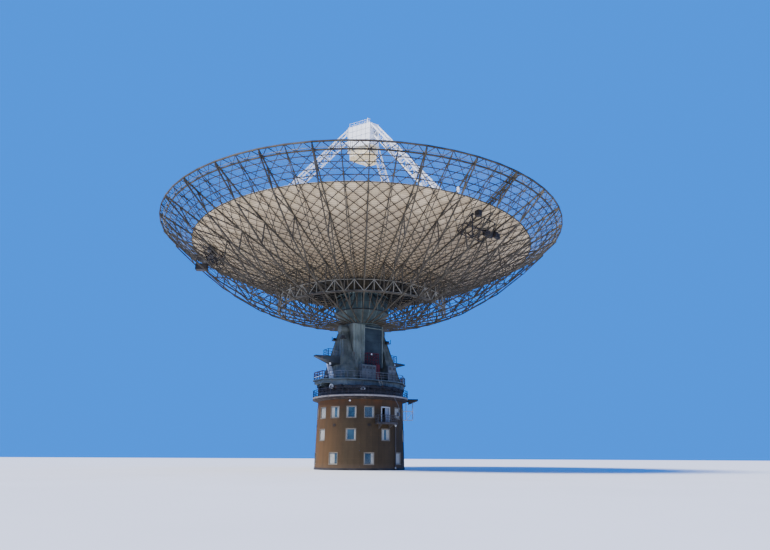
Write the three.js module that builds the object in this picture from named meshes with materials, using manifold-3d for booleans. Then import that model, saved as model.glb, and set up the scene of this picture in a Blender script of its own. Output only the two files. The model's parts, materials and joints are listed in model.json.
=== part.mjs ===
// Fully steerable radio telescope, modelled at half its real size.
// A round three-storey concrete tower carries a gallery and a circular track.
// A turret turns on the track, and a 64 m dish tips on an axle held by the turret's two side frames.
// Units are millimetres, +Z is up, the origin is on the ground at the tower's axis.
// +X runs along the tilting axle and -Y is the side towards which the dish tips.
import * as THREE from 'three';
import { mergeVertices } from 'three/addons/utils/BufferGeometryUtils.js';
import Module from 'manifold-3d';

const wasm = await Module();
wasm.setup();

// Driving dimensions: every length is written in metres of the real telescope times M
const M = 500;
const GAP = 0.3;

const DISH_FOCAL_LENGTH = 26.25 * M;
const DISH_VERTEX_HEIGHT = 26.45 * M;
const SOLID_CENTRE_RADIUS = 8.5 * M;
const PANEL_OUTER_RADIUS = 27.0 * M;
const MESH_OUTER_RADIUS = 31.72 * M;
const PANEL_THICKNESS = 0.08 * M;
const PANEL_STATIONS = [8.5, 13.25, 18, 22.75, 27.0].map((r) => r * M);
const DISH_SECTORS = 3;
const PANEL_STEP_DEG = 6;

const RIB_COUNT = 30;
const RIBS_PER_SECTOR = 5;
const RIB_THICKNESS = 0.12 * M;
const RIB_CHORD = 0.2 * M;
const RIB_BRACE = 0.14 * M;
const RIB_FOOT_INSET = 0.05 * M;
const RIB_TIP_DROP = 0.02 * M;
const RIB_TIP_DEPTH = 0.5 * M;
const RIB_TIP_WEB = 0.5 * M;
const RIB_BOTTOM_CHORD = [[8.5, 22.36], [13.3, 23.36], [18, 25.12], [23, 28.0], [28, 32.0]];
const RIM_TUBE_RADIUS = 31.86 * M;
const RIM_TUBE_WIDTH = 0.18 * M;
const RIM_TUBE_DROP = 0.14 * M;
const RING_GIRDER_RADIUS = 13.3 * M;
const RING_WIDTH = 0.2 * M;

const HUB_TOP = 26.2 * M;
const HUB_BASE = 21.45 * M;
const HUB_TOP_RADIUS = 3.7 * M;
const HUB_BASE_RADIUS = 2.65 * M;

const AXLE_HEIGHT = 20.6 * M;
const AXLE_RADIUS = 0.45 * M;
const AXLE_SIDES = 16;
const AXLE_CLEARANCE = 0.03 * M;
const COLLAR_RADIUS = 0.64 * M;
const THRUST_GAP = 0.5;
const COLUMN_HALF_WIDTH = 2.7 * M;
const COLUMN_HALF_DEPTH = 2.0 * M;
const COLUMN_BOTTOM = 16.9 * M;
const COUNTERWEIGHT_BOTTOM = 14.8 * M;

const TOWER_BASE_RADIUS = 6.67 * M;
const TOWER_TAPER = 0.022;
const WALL_THICKNESS = 0.3 * M;
const WALL_TOP = 9.6 * M;
const WALL_SEGMENTS = 8;
const WALL_STEPS = 6;
const WINDOW_WIDTH = 1.48 * M;
const WINDOW_HEIGHT = 1.65 * M;
const WINDOW_ROWS = [
  { sill: 0.75 * M, first: 25.25, step: 45 },
  { sill: 3.95 * M, first: 47.75, step: 45 },
  { sill: 7.02 * M, first: 25.25, step: 22.5 },
];
const WALL_FIRST_AZIMUTH = 14;
const DOOR_WIDTH = 1.5 * M;
const DOOR_HEIGHT = 2.25 * M;
const BALCONY_DOOR_AZIMUTH = 2.75;
const ENTRANCE_AZIMUTH = 160.25;
const DOOR_LEAF_THICKNESS = 0.1 * M;
const GROUND_FLOOR_TOP = 0.15 * M;
const FIRST_FLOOR_TOP = 3.1 * M;
const SECOND_FLOOR_TOP = 6.35 * M;
const FLOOR_THICKNESS = 0.25 * M;
const GLASS_THICKNESS = 0.03 * M;
const GLASS_MARGIN = 0.12 * M;

const GALLERY_RADIUS = 7.3 * M;
const GALLERY_TOP = 10.2 * M;
const GALLERY_EDGE = 0.35 * M;
const GALLERY_LIP = 0.05 * M;
const RAILING_HEIGHT = 1.05 * M;
const RAIL = 0.07 * M;
const PINTLE_RADIUS = 1.0 * M;
const PINTLE_TOP = 11.1 * M;
const PINTLE_RING_SIDES = 16;
const TRACK_INNER = 5.95 * M;
const TRACK_OUTER = 6.55 * M;
const TRACK_TOP = 10.9 * M;

const BALCONY_START = -12.4;
const BALCONY_END = 12.1;
const BALCONY_RADIUS = 7.8 * M;
const BALCONY_THICKNESS = 0.18 * M;

const DOWNPIPE_AZIMUTH = 17.2;
const LANDING_AZIMUTH = 56.25;

const WHEEL_RADIUS = 0.37 * M;
const WHEEL_GAP = 0.5;
const BOGIE_U = 5.7 * M;
const BOGIE_V = 2.56 * M;
const GIRDER_TOP = 12.45 * M;
const GIRDER_DEPTH = 0.75 * M;
const GIRDER_WIDTH = 0.5 * M;
const GIRDER_CORNERS = [[7.0, 1.2], [6.1, 2.14], [4.7, 3.6], [1.8, 4.2]];
const END_GIRDER_FROM = 6.4 * M;
const DECK_TOP = 12.65 * M;
const DECK_CORNERS = [[7.5, 1.4], [4.9, 4.3], [1.9, 4.9]];
const SIDE_INNER = 2.95 * M;
const SIDE_BASE_OUTER = 4.8 * M;
const SIDE_TOP_OUTER = 3.8 * M;
const SIDE_BASE_HALF = 3.75 * M;
const SIDE_TOP_HALF = 0.7 * M;
const SIDE_TOP = 20.2 * M;
const BEARING_RADIUS = 0.75 * M;
const WING_TOP = 16.2 * M;
const WING_DEPTH = 1.2 * M;
const WING_TIP = 8.1 * M;
const WING_ROOT_HALF = 1.3 * M;
const WING_TIP_HALF = 0.35 * M;

const CABIN_LONG_SIDE = 4.3 * M;
const CABIN_SHORT_SIDE = 1.75 * M;
const CABIN_TOP = 57.2 * M;
const CABIN_FLOOR = 53.0 * M;
const LOWER_CABIN_FLOOR = 51.6 * M;
const LOWER_CABIN_SCALE = 0.87;
const FEED_BOTTOM = 51.1 * M;
const MAST_TOP = 60.4 * M;
const LEG_AZIMUTHS = [0, 120, 240];
const LEG_SLOPE = 1.149;
const LEG_TOP = 57.0 * M;
const LEG_DEPTH = 1.4 * M;
const LEG_WIDTH = 1.3 * M;
const LEG_CHORD = 0.2 * M;
const LEG_BAR = 0.14 * M;
const LEG_BAYS = 5;

// Azimuths are counted in degrees from -Y towards +X
const rad = THREE.MathUtils.degToRad;
const onAzimuth = (radius, azimuth, z) =>
  new THREE.Vector3(radius * Math.sin(rad(azimuth)), -radius * Math.cos(rad(azimuth)), z);
const dishSurface = (r) => DISH_VERTEX_HEIGHT + (r * r) / (4 * DISH_FOCAL_LENGTH);
const wallRadius = (z) => TOWER_BASE_RADIUS - TOWER_TAPER * z;

// Solid geometry
function toSolid(geometry) {
  const bare = geometry.clone();
  bare.deleteAttribute('normal');
  bare.deleteAttribute('uv');
  const merged = mergeVertices(bare, 1e-4);
  const count = merged.index.count;
  const vertProperties = new Float32Array(merged.attributes.position.array);
  const triVerts = new Uint32Array(merged.index.array.slice(0, count));
  return new wasm.Manifold(new wasm.Mesh({ numProp: 3, vertProperties, triVerts }));
}

function fromSolid(solid) {
  const mesh = solid.getMesh();
  const geometry = new THREE.BufferGeometry();
  geometry.setAttribute('position', new THREE.BufferAttribute(new Float32Array(mesh.vertProperties), 3));
  geometry.setIndex(new THREE.BufferAttribute(new Uint32Array(mesh.triVerts), 1));
  return geometry;
}

function fuse(geometries) {
  let solid = toSolid(geometries[0]);
  for (const geometry of geometries.slice(1)) solid = solid.add(toSolid(geometry));
  return fromSolid(solid);
}

function cut(geometry, cutters) {
  let solid = toSolid(geometry);
  for (const cutter of cutters) solid = solid.subtract(toSolid(cutter));
  return fromSolid(solid);
}

function boxBetween(low, high) {
  const box = new THREE.BoxGeometry(high[0] - low[0], high[1] - low[1], high[2] - low[2]);
  box.translate((low[0] + high[0]) / 2, (low[1] + high[1]) / 2, (low[2] + high[2]) / 2);
  return box;
}

// A box whose local axes are radius, tangent and height, turned to an azimuth
function radialBox(rLow, rHigh, halfWidth, zLow, zHigh, azimuth) {
  const box = boxBetween([-halfWidth, -rHigh, zLow], [halfWidth, -rLow, zHigh]);
  box.rotateZ(rad(azimuth));
  return box;
}

function bar(from, to, width, height = width) {
  const along = to.clone().sub(from);
  const box = new THREE.BoxGeometry(width, height, along.length());
  const z = along.clone().normalize();
  const side = new THREE.Vector3(0, 0, 1).cross(z);
  if (side.lengthSq() < 1e-6) side.set(1, 0, 0);
  side.normalize();
  const y = z.clone().cross(side);
  box.applyMatrix4(new THREE.Matrix4().makeBasis(side, y, z));
  box.translate((from.x + to.x) / 2, (from.y + to.y) / 2, (from.z + to.z) / 2);
  return box;
}

// Sweeps a closed profile of [radius, height] points round the Z axis from one azimuth to another
function arcSolid(profile, start, end, steps) {
  const closed = end - start >= 360;
  const outline = profile.map(([r, z]) => new THREE.Vector2(r, z));
  if (THREE.ShapeUtils.isClockWise(outline)) outline.reverse();
  const n = outline.length;
  const positions = [];
  const rows = closed ? steps : steps + 1;
  for (let i = 0; i < rows; i += 1) {
    const azimuth = start + ((end - start) * i) / steps;
    for (const point of outline) positions.push(...onAzimuth(point.x, azimuth, point.y).toArray());
  }
  const index = [];
  for (let i = 0; i < steps; i += 1) {
    const here = i * n;
    const next = ((i + 1) % rows) * n;
    for (let j = 0; j < n; j += 1) {
      const k = (j + 1) % n;
      index.push(here + j, next + j, next + k, here + j, next + k, here + k);
    }
  }
  if (!closed) {
    const last = steps * n;
    for (const [a, b, c] of THREE.ShapeUtils.triangulateShape(outline, [])) {
      index.push(a, b, c);
      index.push(last + a, last + c, last + b);
    }
  }
  const geometry = new THREE.BufferGeometry();
  geometry.setAttribute('position', new THREE.BufferAttribute(new Float32Array(positions), 3));
  geometry.setIndex(index);
  return geometry;
}

const ringProfile = (r, z, width, height = width) => [
  [r - width / 2, z - height / 2],
  [r + width / 2, z - height / 2],
  [r + width / 2, z + height / 2],
  [r - width / 2, z + height / 2],
];

// A solid between a lower and an upper polygon with the same number of corners
function loft(lower, upper) {
  const n = lower.length;
  const positions = [...lower.flat(), ...upper.flat()];
  const index = [];
  for (let j = 0; j < n; j += 1) {
    const k = (j + 1) % n;
    index.push(j, k, n + k, j, n + k, n + j);
  }
  for (let j = 1; j < n - 1; j += 1) {
    index.push(0, j + 1, j);
    index.push(n, n + j, n + j + 1);
  }
  const geometry = new THREE.BufferGeometry();
  geometry.setAttribute('position', new THREE.BufferAttribute(new Float32Array(positions), 3));
  geometry.setIndex(index);
  return geometry;
}

function axleCylinder(radius, xLow, xHigh, sides) {
  const cylinder = new THREE.CylinderGeometry(radius, radius, xHigh - xLow, sides);
  cylinder.rotateZ(Math.PI / 2);
  cylinder.translate((xLow + xHigh) / 2, 0, AXLE_HEIGHT);
  return cylinder;
}

// Materials
const material = (color, roughness, metalness = 0) =>
  new THREE.MeshStandardMaterial({ color, roughness, metalness });
const concrete = material(0x9a5f36, 0.85);
const paleConcrete = material(0xb9b6ab, 0.85);
const floorConcrete = material(0x8d8a83, 0.9);
const windowGlass = material(0x6d93a8, 0.1);
const whitePaint = material(0xe9ecec, 0.5, 0.1);
const creamPaint = material(0xd9cfb0, 0.55, 0.1);
const steelwork = material(0x6b675c, 0.6, 0.5);
const turretPaint = material(0x54665f, 0.55, 0.3);
const girderPaint = material(0x5f7386, 0.55, 0.3);
const darkSteel = material(0x2b2c30, 0.6, 0.5);
const railPaint = material(0x8a93a0, 0.5, 0.4);
const panelMetal = material(0xc8b795, 0.5, 0.5);
const cabinetPaint = material(0xaab4ba, 0.5, 0.2);
const stairPaint = material(0x6a1f26, 0.6, 0.2);

const telescope = new THREE.Group();

function addPiece(name, geometry, pieceMaterial) {
  const mesh = new THREE.Mesh(geometry, pieceMaterial);
  mesh.name = name;
  telescope.add(mesh);
}

// Tower walls with their windows and doors
function openingCutter(azimuth, width, low, high) {
  return radialBox(TOWER_BASE_RADIUS - 3 * WALL_THICKNESS, TOWER_BASE_RADIUS + WALL_THICKNESS,
    width / 2, low, high, azimuth);
}

function sameAzimuth(a, b) {
  return Math.abs(((a - b + 540) % 360) - 180) < 1;
}

function wallSegment(number) {
  const span = 360 / WALL_SEGMENTS;
  const start = WALL_FIRST_AZIMUTH + span * number;
  const seam = THREE.MathUtils.radToDeg(GAP / TOWER_BASE_RADIUS);
  const profile = [
    [TOWER_BASE_RADIUS - WALL_THICKNESS, 0],
    [TOWER_BASE_RADIUS, 0],
    [wallRadius(WALL_TOP), WALL_TOP - GAP],
    [wallRadius(WALL_TOP) - WALL_THICKNESS, WALL_TOP - GAP],
  ];
  const wall = arcSolid(profile, start + seam, start + span - seam, WALL_STEPS);
  const cutters = [];
  for (const row of WINDOW_ROWS) {
    for (let azimuth = row.first; azimuth < row.first + 359; azimuth += row.step) {
      const inside = (((azimuth - start) % 360) + 360) % 360;
      if (inside > span) continue;
      const isBalconyDoor = row.sill > SECOND_FLOOR_TOP && sameAzimuth(azimuth, BALCONY_DOOR_AZIMUTH);
      const isEntrance = row.sill < FIRST_FLOOR_TOP && sameAzimuth(azimuth, ENTRANCE_AZIMUTH);
      if (isBalconyDoor) {
        cutters.push(openingCutter(azimuth, DOOR_WIDTH, SECOND_FLOOR_TOP, SECOND_FLOOR_TOP + DOOR_HEIGHT));
      } else if (isEntrance) {
        cutters.push(openingCutter(azimuth, DOOR_WIDTH, GROUND_FLOOR_TOP, GROUND_FLOOR_TOP + DOOR_HEIGHT));
      } else {
        cutters.push(openingCutter(azimuth, WINDOW_WIDTH, row.sill, row.sill + WINDOW_HEIGHT));
      }
    }
  }
  return cut(wall, cutters);
}

for (let number = 0; number < WALL_SEGMENTS; number += 1) {
  addPiece(`tower_wall_${number + 1}`, wallSegment(number), concrete);
}

// Floors follow the faceted inner face of the wall
const innerFaceRatio = Math.cos(rad(360 / (WALL_SEGMENTS * WALL_STEPS * 2)));
const innerWallRadius = (z) => wallRadius(z) - WALL_THICKNESS;
const fullTurn = WALL_SEGMENTS * WALL_STEPS;

function floorSlab(top, thickness) {
  const radius = innerWallRadius(top) - GAP / innerFaceRatio;
  const slab = new THREE.CylinderGeometry(radius, radius, thickness, fullTurn);
  slab.rotateX(Math.PI / 2);
  slab.rotateZ(rad(WALL_FIRST_AZIMUTH));
  slab.translate(0, 0, top - thickness / 2);
  return slab;
}

addPiece('ground_floor', floorSlab(GROUND_FLOOR_TOP, GROUND_FLOOR_TOP), floorConcrete);
addPiece('first_floor', floorSlab(FIRST_FLOOR_TOP, FLOOR_THICKNESS), floorConcrete);
addPiece('second_floor', floorSlab(SECOND_FLOOR_TOP, FLOOR_THICKNESS), floorConcrete);

// One sheet of glass a storey stands just inside the wall and leaves the doorways open
const GLASS_STEP_DEG = 15;
const GLASS_DOORWAY_DEG = 15;

function glassRing(row, doorAzimuth, hasDoor) {
  const low = row.sill - GLASS_MARGIN;
  const high = row.sill + WINDOW_HEIGHT + GLASS_MARGIN;
  const outer = innerWallRadius(high) * innerFaceRatio - GAP;
  const inner = outer - GLASS_THICKNESS;
  const profile = [[inner, low], [outer, low], [outer, high], [inner, high]];
  const start = doorAzimuth + GLASS_DOORWAY_DEG / 2;
  if (!hasDoor) return arcSolid(profile, start, start + 360, 360 / GLASS_STEP_DEG);
  const span = 360 - GLASS_DOORWAY_DEG;
  return arcSolid(profile, start, start + span, span / GLASS_STEP_DEG);
}

addPiece('ground_floor_glass', glassRing(WINDOW_ROWS[0], ENTRANCE_AZIMUTH, true), windowGlass);
addPiece('first_floor_glass', glassRing(WINDOW_ROWS[1], BALCONY_DOOR_AZIMUTH, false), windowGlass);
addPiece('second_floor_glass', glassRing(WINDOW_ROWS[2], BALCONY_DOOR_AZIMUTH, true), windowGlass);

// Door leaves stand in the middle of the wall, the entrance leaf whole and the balcony's right half only
function doorLeaf(azimuth, low, sideFrom, sideTo) {
  const middle = innerWallRadius(low + DOOR_HEIGHT / 2) + WALL_THICKNESS / 2;
  const leaf = boxBetween(
    [sideFrom, -middle - DOOR_LEAF_THICKNESS / 2, low + GAP],
    [sideTo, -middle + DOOR_LEAF_THICKNESS / 2, low + DOOR_HEIGHT - GAP],
  );
  leaf.rotateZ(rad(azimuth));
  return leaf;
}

const doorEdge = DOOR_WIDTH / 2 - GAP;
addPiece('entrance_door', doorLeaf(ENTRANCE_AZIMUTH, GROUND_FLOOR_TOP, -doorEdge, doorEdge), cabinetPaint);
addPiece('balcony_door', doorLeaf(BALCONY_DOOR_AZIMUTH, SECOND_FLOOR_TOP, 0, doorEdge), cabinetPaint);

// Gallery slab with the pintle boss that centres the turret
function gallerySlab() {
  const profile = [
    [0, WALL_TOP],
    [wallRadius(WALL_TOP) + GALLERY_LIP, WALL_TOP],
    [GALLERY_RADIUS, GALLERY_TOP - GALLERY_EDGE],
    [GALLERY_RADIUS, GALLERY_TOP],
    [PINTLE_RADIUS, GALLERY_TOP],
    [PINTLE_RADIUS, PINTLE_TOP],
    [0, PINTLE_TOP],
  ].map(([r, z]) => new THREE.Vector2(r, z));
  const slab = new THREE.LatheGeometry(profile, fullTurn);
  slab.rotateX(Math.PI / 2);
  return fromSolid(toSolid(slab));
}

addPiece('gallery_slab', gallerySlab(), paleConcrete);

const trackProfile = [
  [TRACK_INNER, GALLERY_TOP + GAP],
  [TRACK_OUTER, GALLERY_TOP + GAP],
  [TRACK_OUTER, TRACK_TOP],
  [TRACK_INNER, TRACK_TOP],
];
const TRACK_SEGMENTS = 36;
addPiece('azimuth_track', arcSolid(trackProfile, 0, 360, TRACK_SEGMENTS), darkSteel);

// Railings: a rail and posts along a path of points on a deck
function railing(points, closed, height = RAILING_HEIGHT, foot = GAP) {
  const parts = [];
  const count = points.length;
  for (let i = 0; i < count; i += 1) {
    const here = points[i];
    const next = points[(i + 1) % count];
    const top = here.clone().add(new THREE.Vector3(0, 0, height));
    const topNext = next.clone().add(new THREE.Vector3(0, 0, height));
    const base = here.clone().add(new THREE.Vector3(0, 0, foot));
    parts.push(bar(base, top.clone().add(new THREE.Vector3(0, 0, RAIL / 2)), RAIL));
    if (closed || i < count - 1) parts.push(bar(top, topNext, RAIL));
  }
  return parts;
}

const GALLERY_POSTS = 16;
const galleryRailRadius = GALLERY_RADIUS - RAIL;
const galleryPosts = [];
for (let i = 0; i < GALLERY_POSTS; i += 1) {
  galleryPosts.push(onAzimuth(galleryRailRadius, (360 * i) / GALLERY_POSTS, GALLERY_TOP));
}
addPiece('gallery_railing', fuse(railing(galleryPosts, true)), railPaint);

// Balcony outside the third-storey door, its railing and its brackets
const BALCONY_STEPS = 3;
const BALCONY_POST_INSET_DEG = 0.6;
const BALCONY_BRACKET_INSET_DEG = 5;
const BRACKET_DEPTH = 0.6 * M;

function balconyBracket(azimuth, inner) {
  const top = SECOND_FLOOR_TOP - BALCONY_THICKNESS;
  const tip = BALCONY_RADIUS - RAIL;
  const corners = (reach, z) => [
    [-RAIL, -reach, z], [RAIL, -reach, z], [RAIL, -inner, z], [-RAIL, -inner, z],
  ];
  const bracket = loft(corners(inner + RAIL, top - BRACKET_DEPTH), corners(tip, top + RAIL));
  bracket.rotateZ(rad(azimuth));
  return bracket;
}

function balcony() {
  const low = SECOND_FLOOR_TOP - BALCONY_THICKNESS;
  const inner = wallRadius(low) + GAP;
  const profile = [
    [inner, low], [BALCONY_RADIUS, low], [BALCONY_RADIUS, SECOND_FLOOR_TOP], [inner, SECOND_FLOOR_TOP],
  ];
  const first = BALCONY_START + BALCONY_POST_INSET_DEG;
  const last = BALCONY_END - BALCONY_POST_INSET_DEG;
  const posts = [onAzimuth(inner + RAIL, first, SECOND_FLOOR_TOP)];
  for (let i = 0; i <= BALCONY_STEPS; i += 1) {
    const azimuth = first + ((last - first) * i) / BALCONY_STEPS;
    posts.push(onAzimuth(BALCONY_RADIUS - RAIL, azimuth, SECOND_FLOOR_TOP));
  }
  posts.push(onAzimuth(inner + RAIL, last, SECOND_FLOOR_TOP));
  const parts = [
    arcSolid(profile, BALCONY_START, BALCONY_END, BALCONY_STEPS),
    ...railing(posts, false, RAILING_HEIGHT, -RAIL),
    balconyBracket(BALCONY_START + BALCONY_BRACKET_INSET_DEG, inner),
    balconyBracket(BALCONY_END - BALCONY_BRACKET_INSET_DEG, inner),
  ];
  const deepInside = 2 * WALL_THICKNESS;
  const face = arcSolid([
    [TOWER_BASE_RADIUS - deepInside, 0],
    [TOWER_BASE_RADIUS + GAP, 0],
    [wallRadius(WALL_TOP) + GAP, WALL_TOP],
    [wallRadius(WALL_TOP) - deepInside, WALL_TOP],
  ], WALL_FIRST_AZIMUTH - 45, WALL_FIRST_AZIMUTH + 45, 2 * WALL_STEPS);
  return cut(fuse(parts), [face]);
}

addPiece('balcony', balcony(), railPaint);

// Rainwater pipe beside the right-hand window, clipped to the wall
const PIPE_RADIUS = 0.08 * M;
const PIPE_STAND_OFF = 0.14 * M;
const PIPE_BOTTOM = 0.25 * M;
const PIPE_TOP = 6.07 * M;
const PIPE_CLIP = 0.05 * M;
const PIPE_CLIP_HEIGHTS = [0.8 * M, 3.3 * M, 5.8 * M];

function downpipe() {
  const axis = TOWER_BASE_RADIUS + PIPE_STAND_OFF;
  const pipe = new THREE.CylinderGeometry(PIPE_RADIUS, PIPE_RADIUS, PIPE_TOP - PIPE_BOTTOM, 8);
  pipe.rotateX(Math.PI / 2);
  pipe.translate(0, -axis, (PIPE_BOTTOM + PIPE_TOP) / 2);
  pipe.rotateZ(rad(DOWNPIPE_AZIMUTH));
  const clips = PIPE_CLIP_HEIGHTS.map((height) => {
    const low = height - PIPE_CLIP;
    const wall = wallRadius(low) * innerFaceRatio + 2 * GAP;
    return radialBox(wall, axis, PIPE_CLIP, low, height + PIPE_CLIP, DOWNPIPE_AZIMUTH);
  });
  return fuse([pipe, ...clips]);
}

addPiece('downpipe', downpipe(), railPaint);

// Outrigger landing on the right of the gallery
const LANDING_TIP = 8.75 * M;
const LANDING_HALF_WIDTH = 0.8 * M;
const LANDING_ROOT_DEPTH = 0.75 * M;
const LANDING_TIP_DEPTH = 0.2 * M;
const LANDING_DROP = 0.04 * M;

function galleryLanding() {
  const root = GALLERY_RADIUS * innerFaceRatio + GAP;
  const top = GALLERY_TOP - LANDING_DROP;
  const edge = (radius, depth) => [
    [-LANDING_HALF_WIDTH, -radius, top - depth], [LANDING_HALF_WIDTH, -radius, top - depth],
    [LANDING_HALF_WIDTH, -radius, top], [-LANDING_HALF_WIDTH, -radius, top],
  ];
  const landing = loft(edge(root, LANDING_ROOT_DEPTH), edge(LANDING_TIP, LANDING_TIP_DEPTH));
  landing.rotateZ(rad(LANDING_AZIMUTH));
  return fromSolid(toSolid(landing));
}

addPiece('gallery_landing', galleryLanding(), darkSteel);

// Turret base: a polygon of box girders under the deck, cross girders and the ring round the pintle
const uv = (u, v, z) => new THREE.Vector3(u, -v, z);
const mirroredCorners = (corners) => {
  const front = [...corners, ...corners.map(([u, v]) => [-u, v]).reverse()];
  return [...front, ...front.map(([u, v]) => [u, -v]).reverse()];
};

function girder(from, to, width, low, high) {
  const along = to.clone().sub(from).setLength(width / 2);
  const z = (low + high) / 2;
  const start = from.clone().sub(along).setZ(z);
  const end = to.clone().add(along).setZ(z);
  return bar(start, end, width, high - low);
}

const CROSS_GIRDER_U = 3.6 * M;
const CROSS_GIRDER_V = 3.5 * M;
const SPINE_FROM = 1.5 * M;
const SPINE_TO = 6.7 * M;
const PINTLE_CLEARANCE = 0.03 * M;
const PINTLE_RING_WIDTH = 0.45 * M;
const PINTLE_RING_LIFT = 0.25 * M;
// Crossing girders differ by a millimetre in height, so that no two faces lie on each other
const FACE_STEP = 1;

function turretBase() {
  const corners = mirroredCorners(GIRDER_CORNERS).map(([u, v]) => uv(u * M, v * M, 0));
  const parts = [];
  corners.forEach((corner, i) => {
    const next = corners[(i + 1) % corners.length];
    const atEnd = Math.abs(corner.x + next.x) / 2 > END_GIRDER_FROM;
    const depth = atEnd ? GIRDER_DEPTH / 2 : GIRDER_DEPTH;
    parts.push(girder(corner, next, GIRDER_WIDTH, GIRDER_TOP - depth, GIRDER_TOP));
  });
  const low = GIRDER_TOP - GIRDER_DEPTH;
  for (const side of [-1, 1]) {
    const u = side * CROSS_GIRDER_U;
    parts.push(girder(uv(u, -CROSS_GIRDER_V), uv(u, CROSS_GIRDER_V), GIRDER_WIDTH,
      low, GIRDER_TOP - FACE_STEP));
    parts.push(girder(uv(side * SPINE_FROM, 0), uv(side * SPINE_TO, 0), GIRDER_WIDTH,
      low + FACE_STEP, GIRDER_TOP - 2 * FACE_STEP));
  }
  const inner = (PINTLE_RADIUS + PINTLE_CLEARANCE) / Math.cos(Math.PI / PINTLE_RING_SIDES);
  const outer = inner + PINTLE_RING_WIDTH;
  const bottom = GALLERY_TOP + PINTLE_RING_LIFT;
  const top = GIRDER_TOP - 3 * FACE_STEP;
  const ring = [[inner, bottom], [outer, bottom], [outer, top], [inner, top]];
  parts.push(arcSolid(ring, 0, 360, PINTLE_RING_SIDES));
  return fuse(parts);
}

addPiece('turret_base', turretBase(), girderPaint);

// Four wheel bogies carry the turret on the track
const BOGIE_HALF_DEPTH = 0.3 * M;
const BOGIE_HALF_LENGTH = 1.15 * M;
const BOGIE_LIFT = 0.35 * M;
const WHEEL_OFFSET = 0.62 * M;
const WHEEL_WIDTH = 0.4 * M;

function bogie(u, v) {
  const azimuth = THREE.MathUtils.radToDeg(Math.atan2(u, v));
  const radius = Math.hypot(u, v);
  const housing = radialBox(radius - BOGIE_HALF_DEPTH, radius + BOGIE_HALF_DEPTH, BOGIE_HALF_LENGTH,
    TRACK_TOP + BOGIE_LIFT, GIRDER_TOP - GIRDER_DEPTH - GAP, azimuth);
  const parts = [housing];
  for (const side of [-1, 1]) {
    const wheel = new THREE.CylinderGeometry(WHEEL_RADIUS, WHEEL_RADIUS, WHEEL_WIDTH, 12);
    wheel.translate(side * WHEEL_OFFSET, -radius, TRACK_TOP + WHEEL_RADIUS + WHEEL_GAP);
    wheel.rotateZ(rad(azimuth));
    parts.push(wheel);
  }
  return fuse(parts);
}

const BOGIE_PLACES = { front_left: [-1, 1], front_right: [1, 1], back_left: [-1, -1], back_right: [1, -1] };
for (const [place, [sideU, sideV]] of Object.entries(BOGIE_PLACES)) {
  addPiece(`bogie_${place}`, bogie(sideU * BOGIE_U, sideV * BOGIE_V), darkSteel);
}

// Deck over the girders and the railing round it
function deckPlate() {
  const outline = mirroredCorners(DECK_CORNERS).map(([u, v]) => new THREE.Vector2(u * M, -v * M));
  const thickness = DECK_TOP - GIRDER_TOP - GAP;
  const settings = { depth: thickness, bevelEnabled: false };
  const plate = new THREE.ExtrudeGeometry(new THREE.Shape(outline), settings);
  plate.translate(0, 0, DECK_TOP - thickness);
  return plate;
}

const DECK_RAIL_INSET = 0.9825;

function deckRailing() {
  const corners = mirroredCorners(DECK_CORNERS)
    .map(([u, v]) => uv(u * DECK_RAIL_INSET * M, v * DECK_RAIL_INSET * M, DECK_TOP));
  return fuse(railing(corners, true));
}

addPiece('turret_deck', deckPlate(), darkSteel);
addPiece('deck_railing', deckRailing(), railPaint);

// Side frames: tapering steel boxes that carry the axle bearings
const sideOuterAt = (z) => SIDE_BASE_OUTER + ((SIDE_TOP_OUTER - SIDE_BASE_OUTER) * (z - DECK_TOP))
  / (SIDE_TOP - DECK_TOP);

function sideFrame(side) {
  const low = DECK_TOP + GAP;
  const corners = (outer, halfDepth, z) => [
    [SIDE_INNER, -halfDepth, z], [outer, -halfDepth, z], [outer, halfDepth, z], [SIDE_INNER, halfDepth, z],
  ];
  const box = loft(
    corners(SIDE_BASE_OUTER, SIDE_BASE_HALF, low),
    corners(SIDE_TOP_OUTER, SIDE_TOP_HALF, SIDE_TOP),
  );
  const bearing = axleCylinder(BEARING_RADIUS, SIDE_INNER, SIDE_TOP_OUTER, AXLE_SIDES);
  const bore = axleCylinder(AXLE_RADIUS + AXLE_CLEARANCE, SIDE_INNER - M, SIDE_TOP_OUTER + M, AXLE_SIDES);
  const frame = cut(fuse([box, bearing]), [bore]);
  if (side > 0) return frame;
  frame.rotateZ(Math.PI);
  return frame;
}

addPiece('side_frame_left', sideFrame(-1), turretPaint);
addPiece('side_frame_right', sideFrame(1), turretPaint);

// Wedge platforms on the outside of the side frames, with their own rails
const WING_TIP_DEPTH = 0.2 * M;
const WING_POSTS = [[4.6, 1.1], [6.2, 0.75], [6.2, -0.75], [4.6, -1.1]];

function wing(side) {
  const rootLow = WING_TOP - WING_DEPTH;
  const tipLow = WING_TOP - WING_TIP_DEPTH;
  const root = (z) => sideOuterAt(z) + 2 * GAP;
  const wedge = loft(
    [[root(rootLow), -WING_ROOT_HALF, rootLow], [root(rootLow), WING_ROOT_HALF, rootLow],
      [root(WING_TOP), WING_ROOT_HALF, WING_TOP], [root(WING_TOP), -WING_ROOT_HALF, WING_TOP]],
    [[WING_TIP, -WING_TIP_HALF, tipLow], [WING_TIP, WING_TIP_HALF, tipLow],
      [WING_TIP, WING_TIP_HALF, WING_TOP], [WING_TIP, -WING_TIP_HALF, WING_TOP]],
  );
  const posts = WING_POSTS.map(([u, v]) => new THREE.Vector3(u * M, v * M, WING_TOP));
  const piece = fuse([wedge, ...railing(posts, false, RAILING_HEIGHT, -RAIL)]);
  if (side < 0) piece.rotateZ(Math.PI);
  return piece;
}

addPiece('wing_platform_left', wing(-1), girderPaint);
addPiece('wing_platform_right', wing(1), girderPaint);

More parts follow.
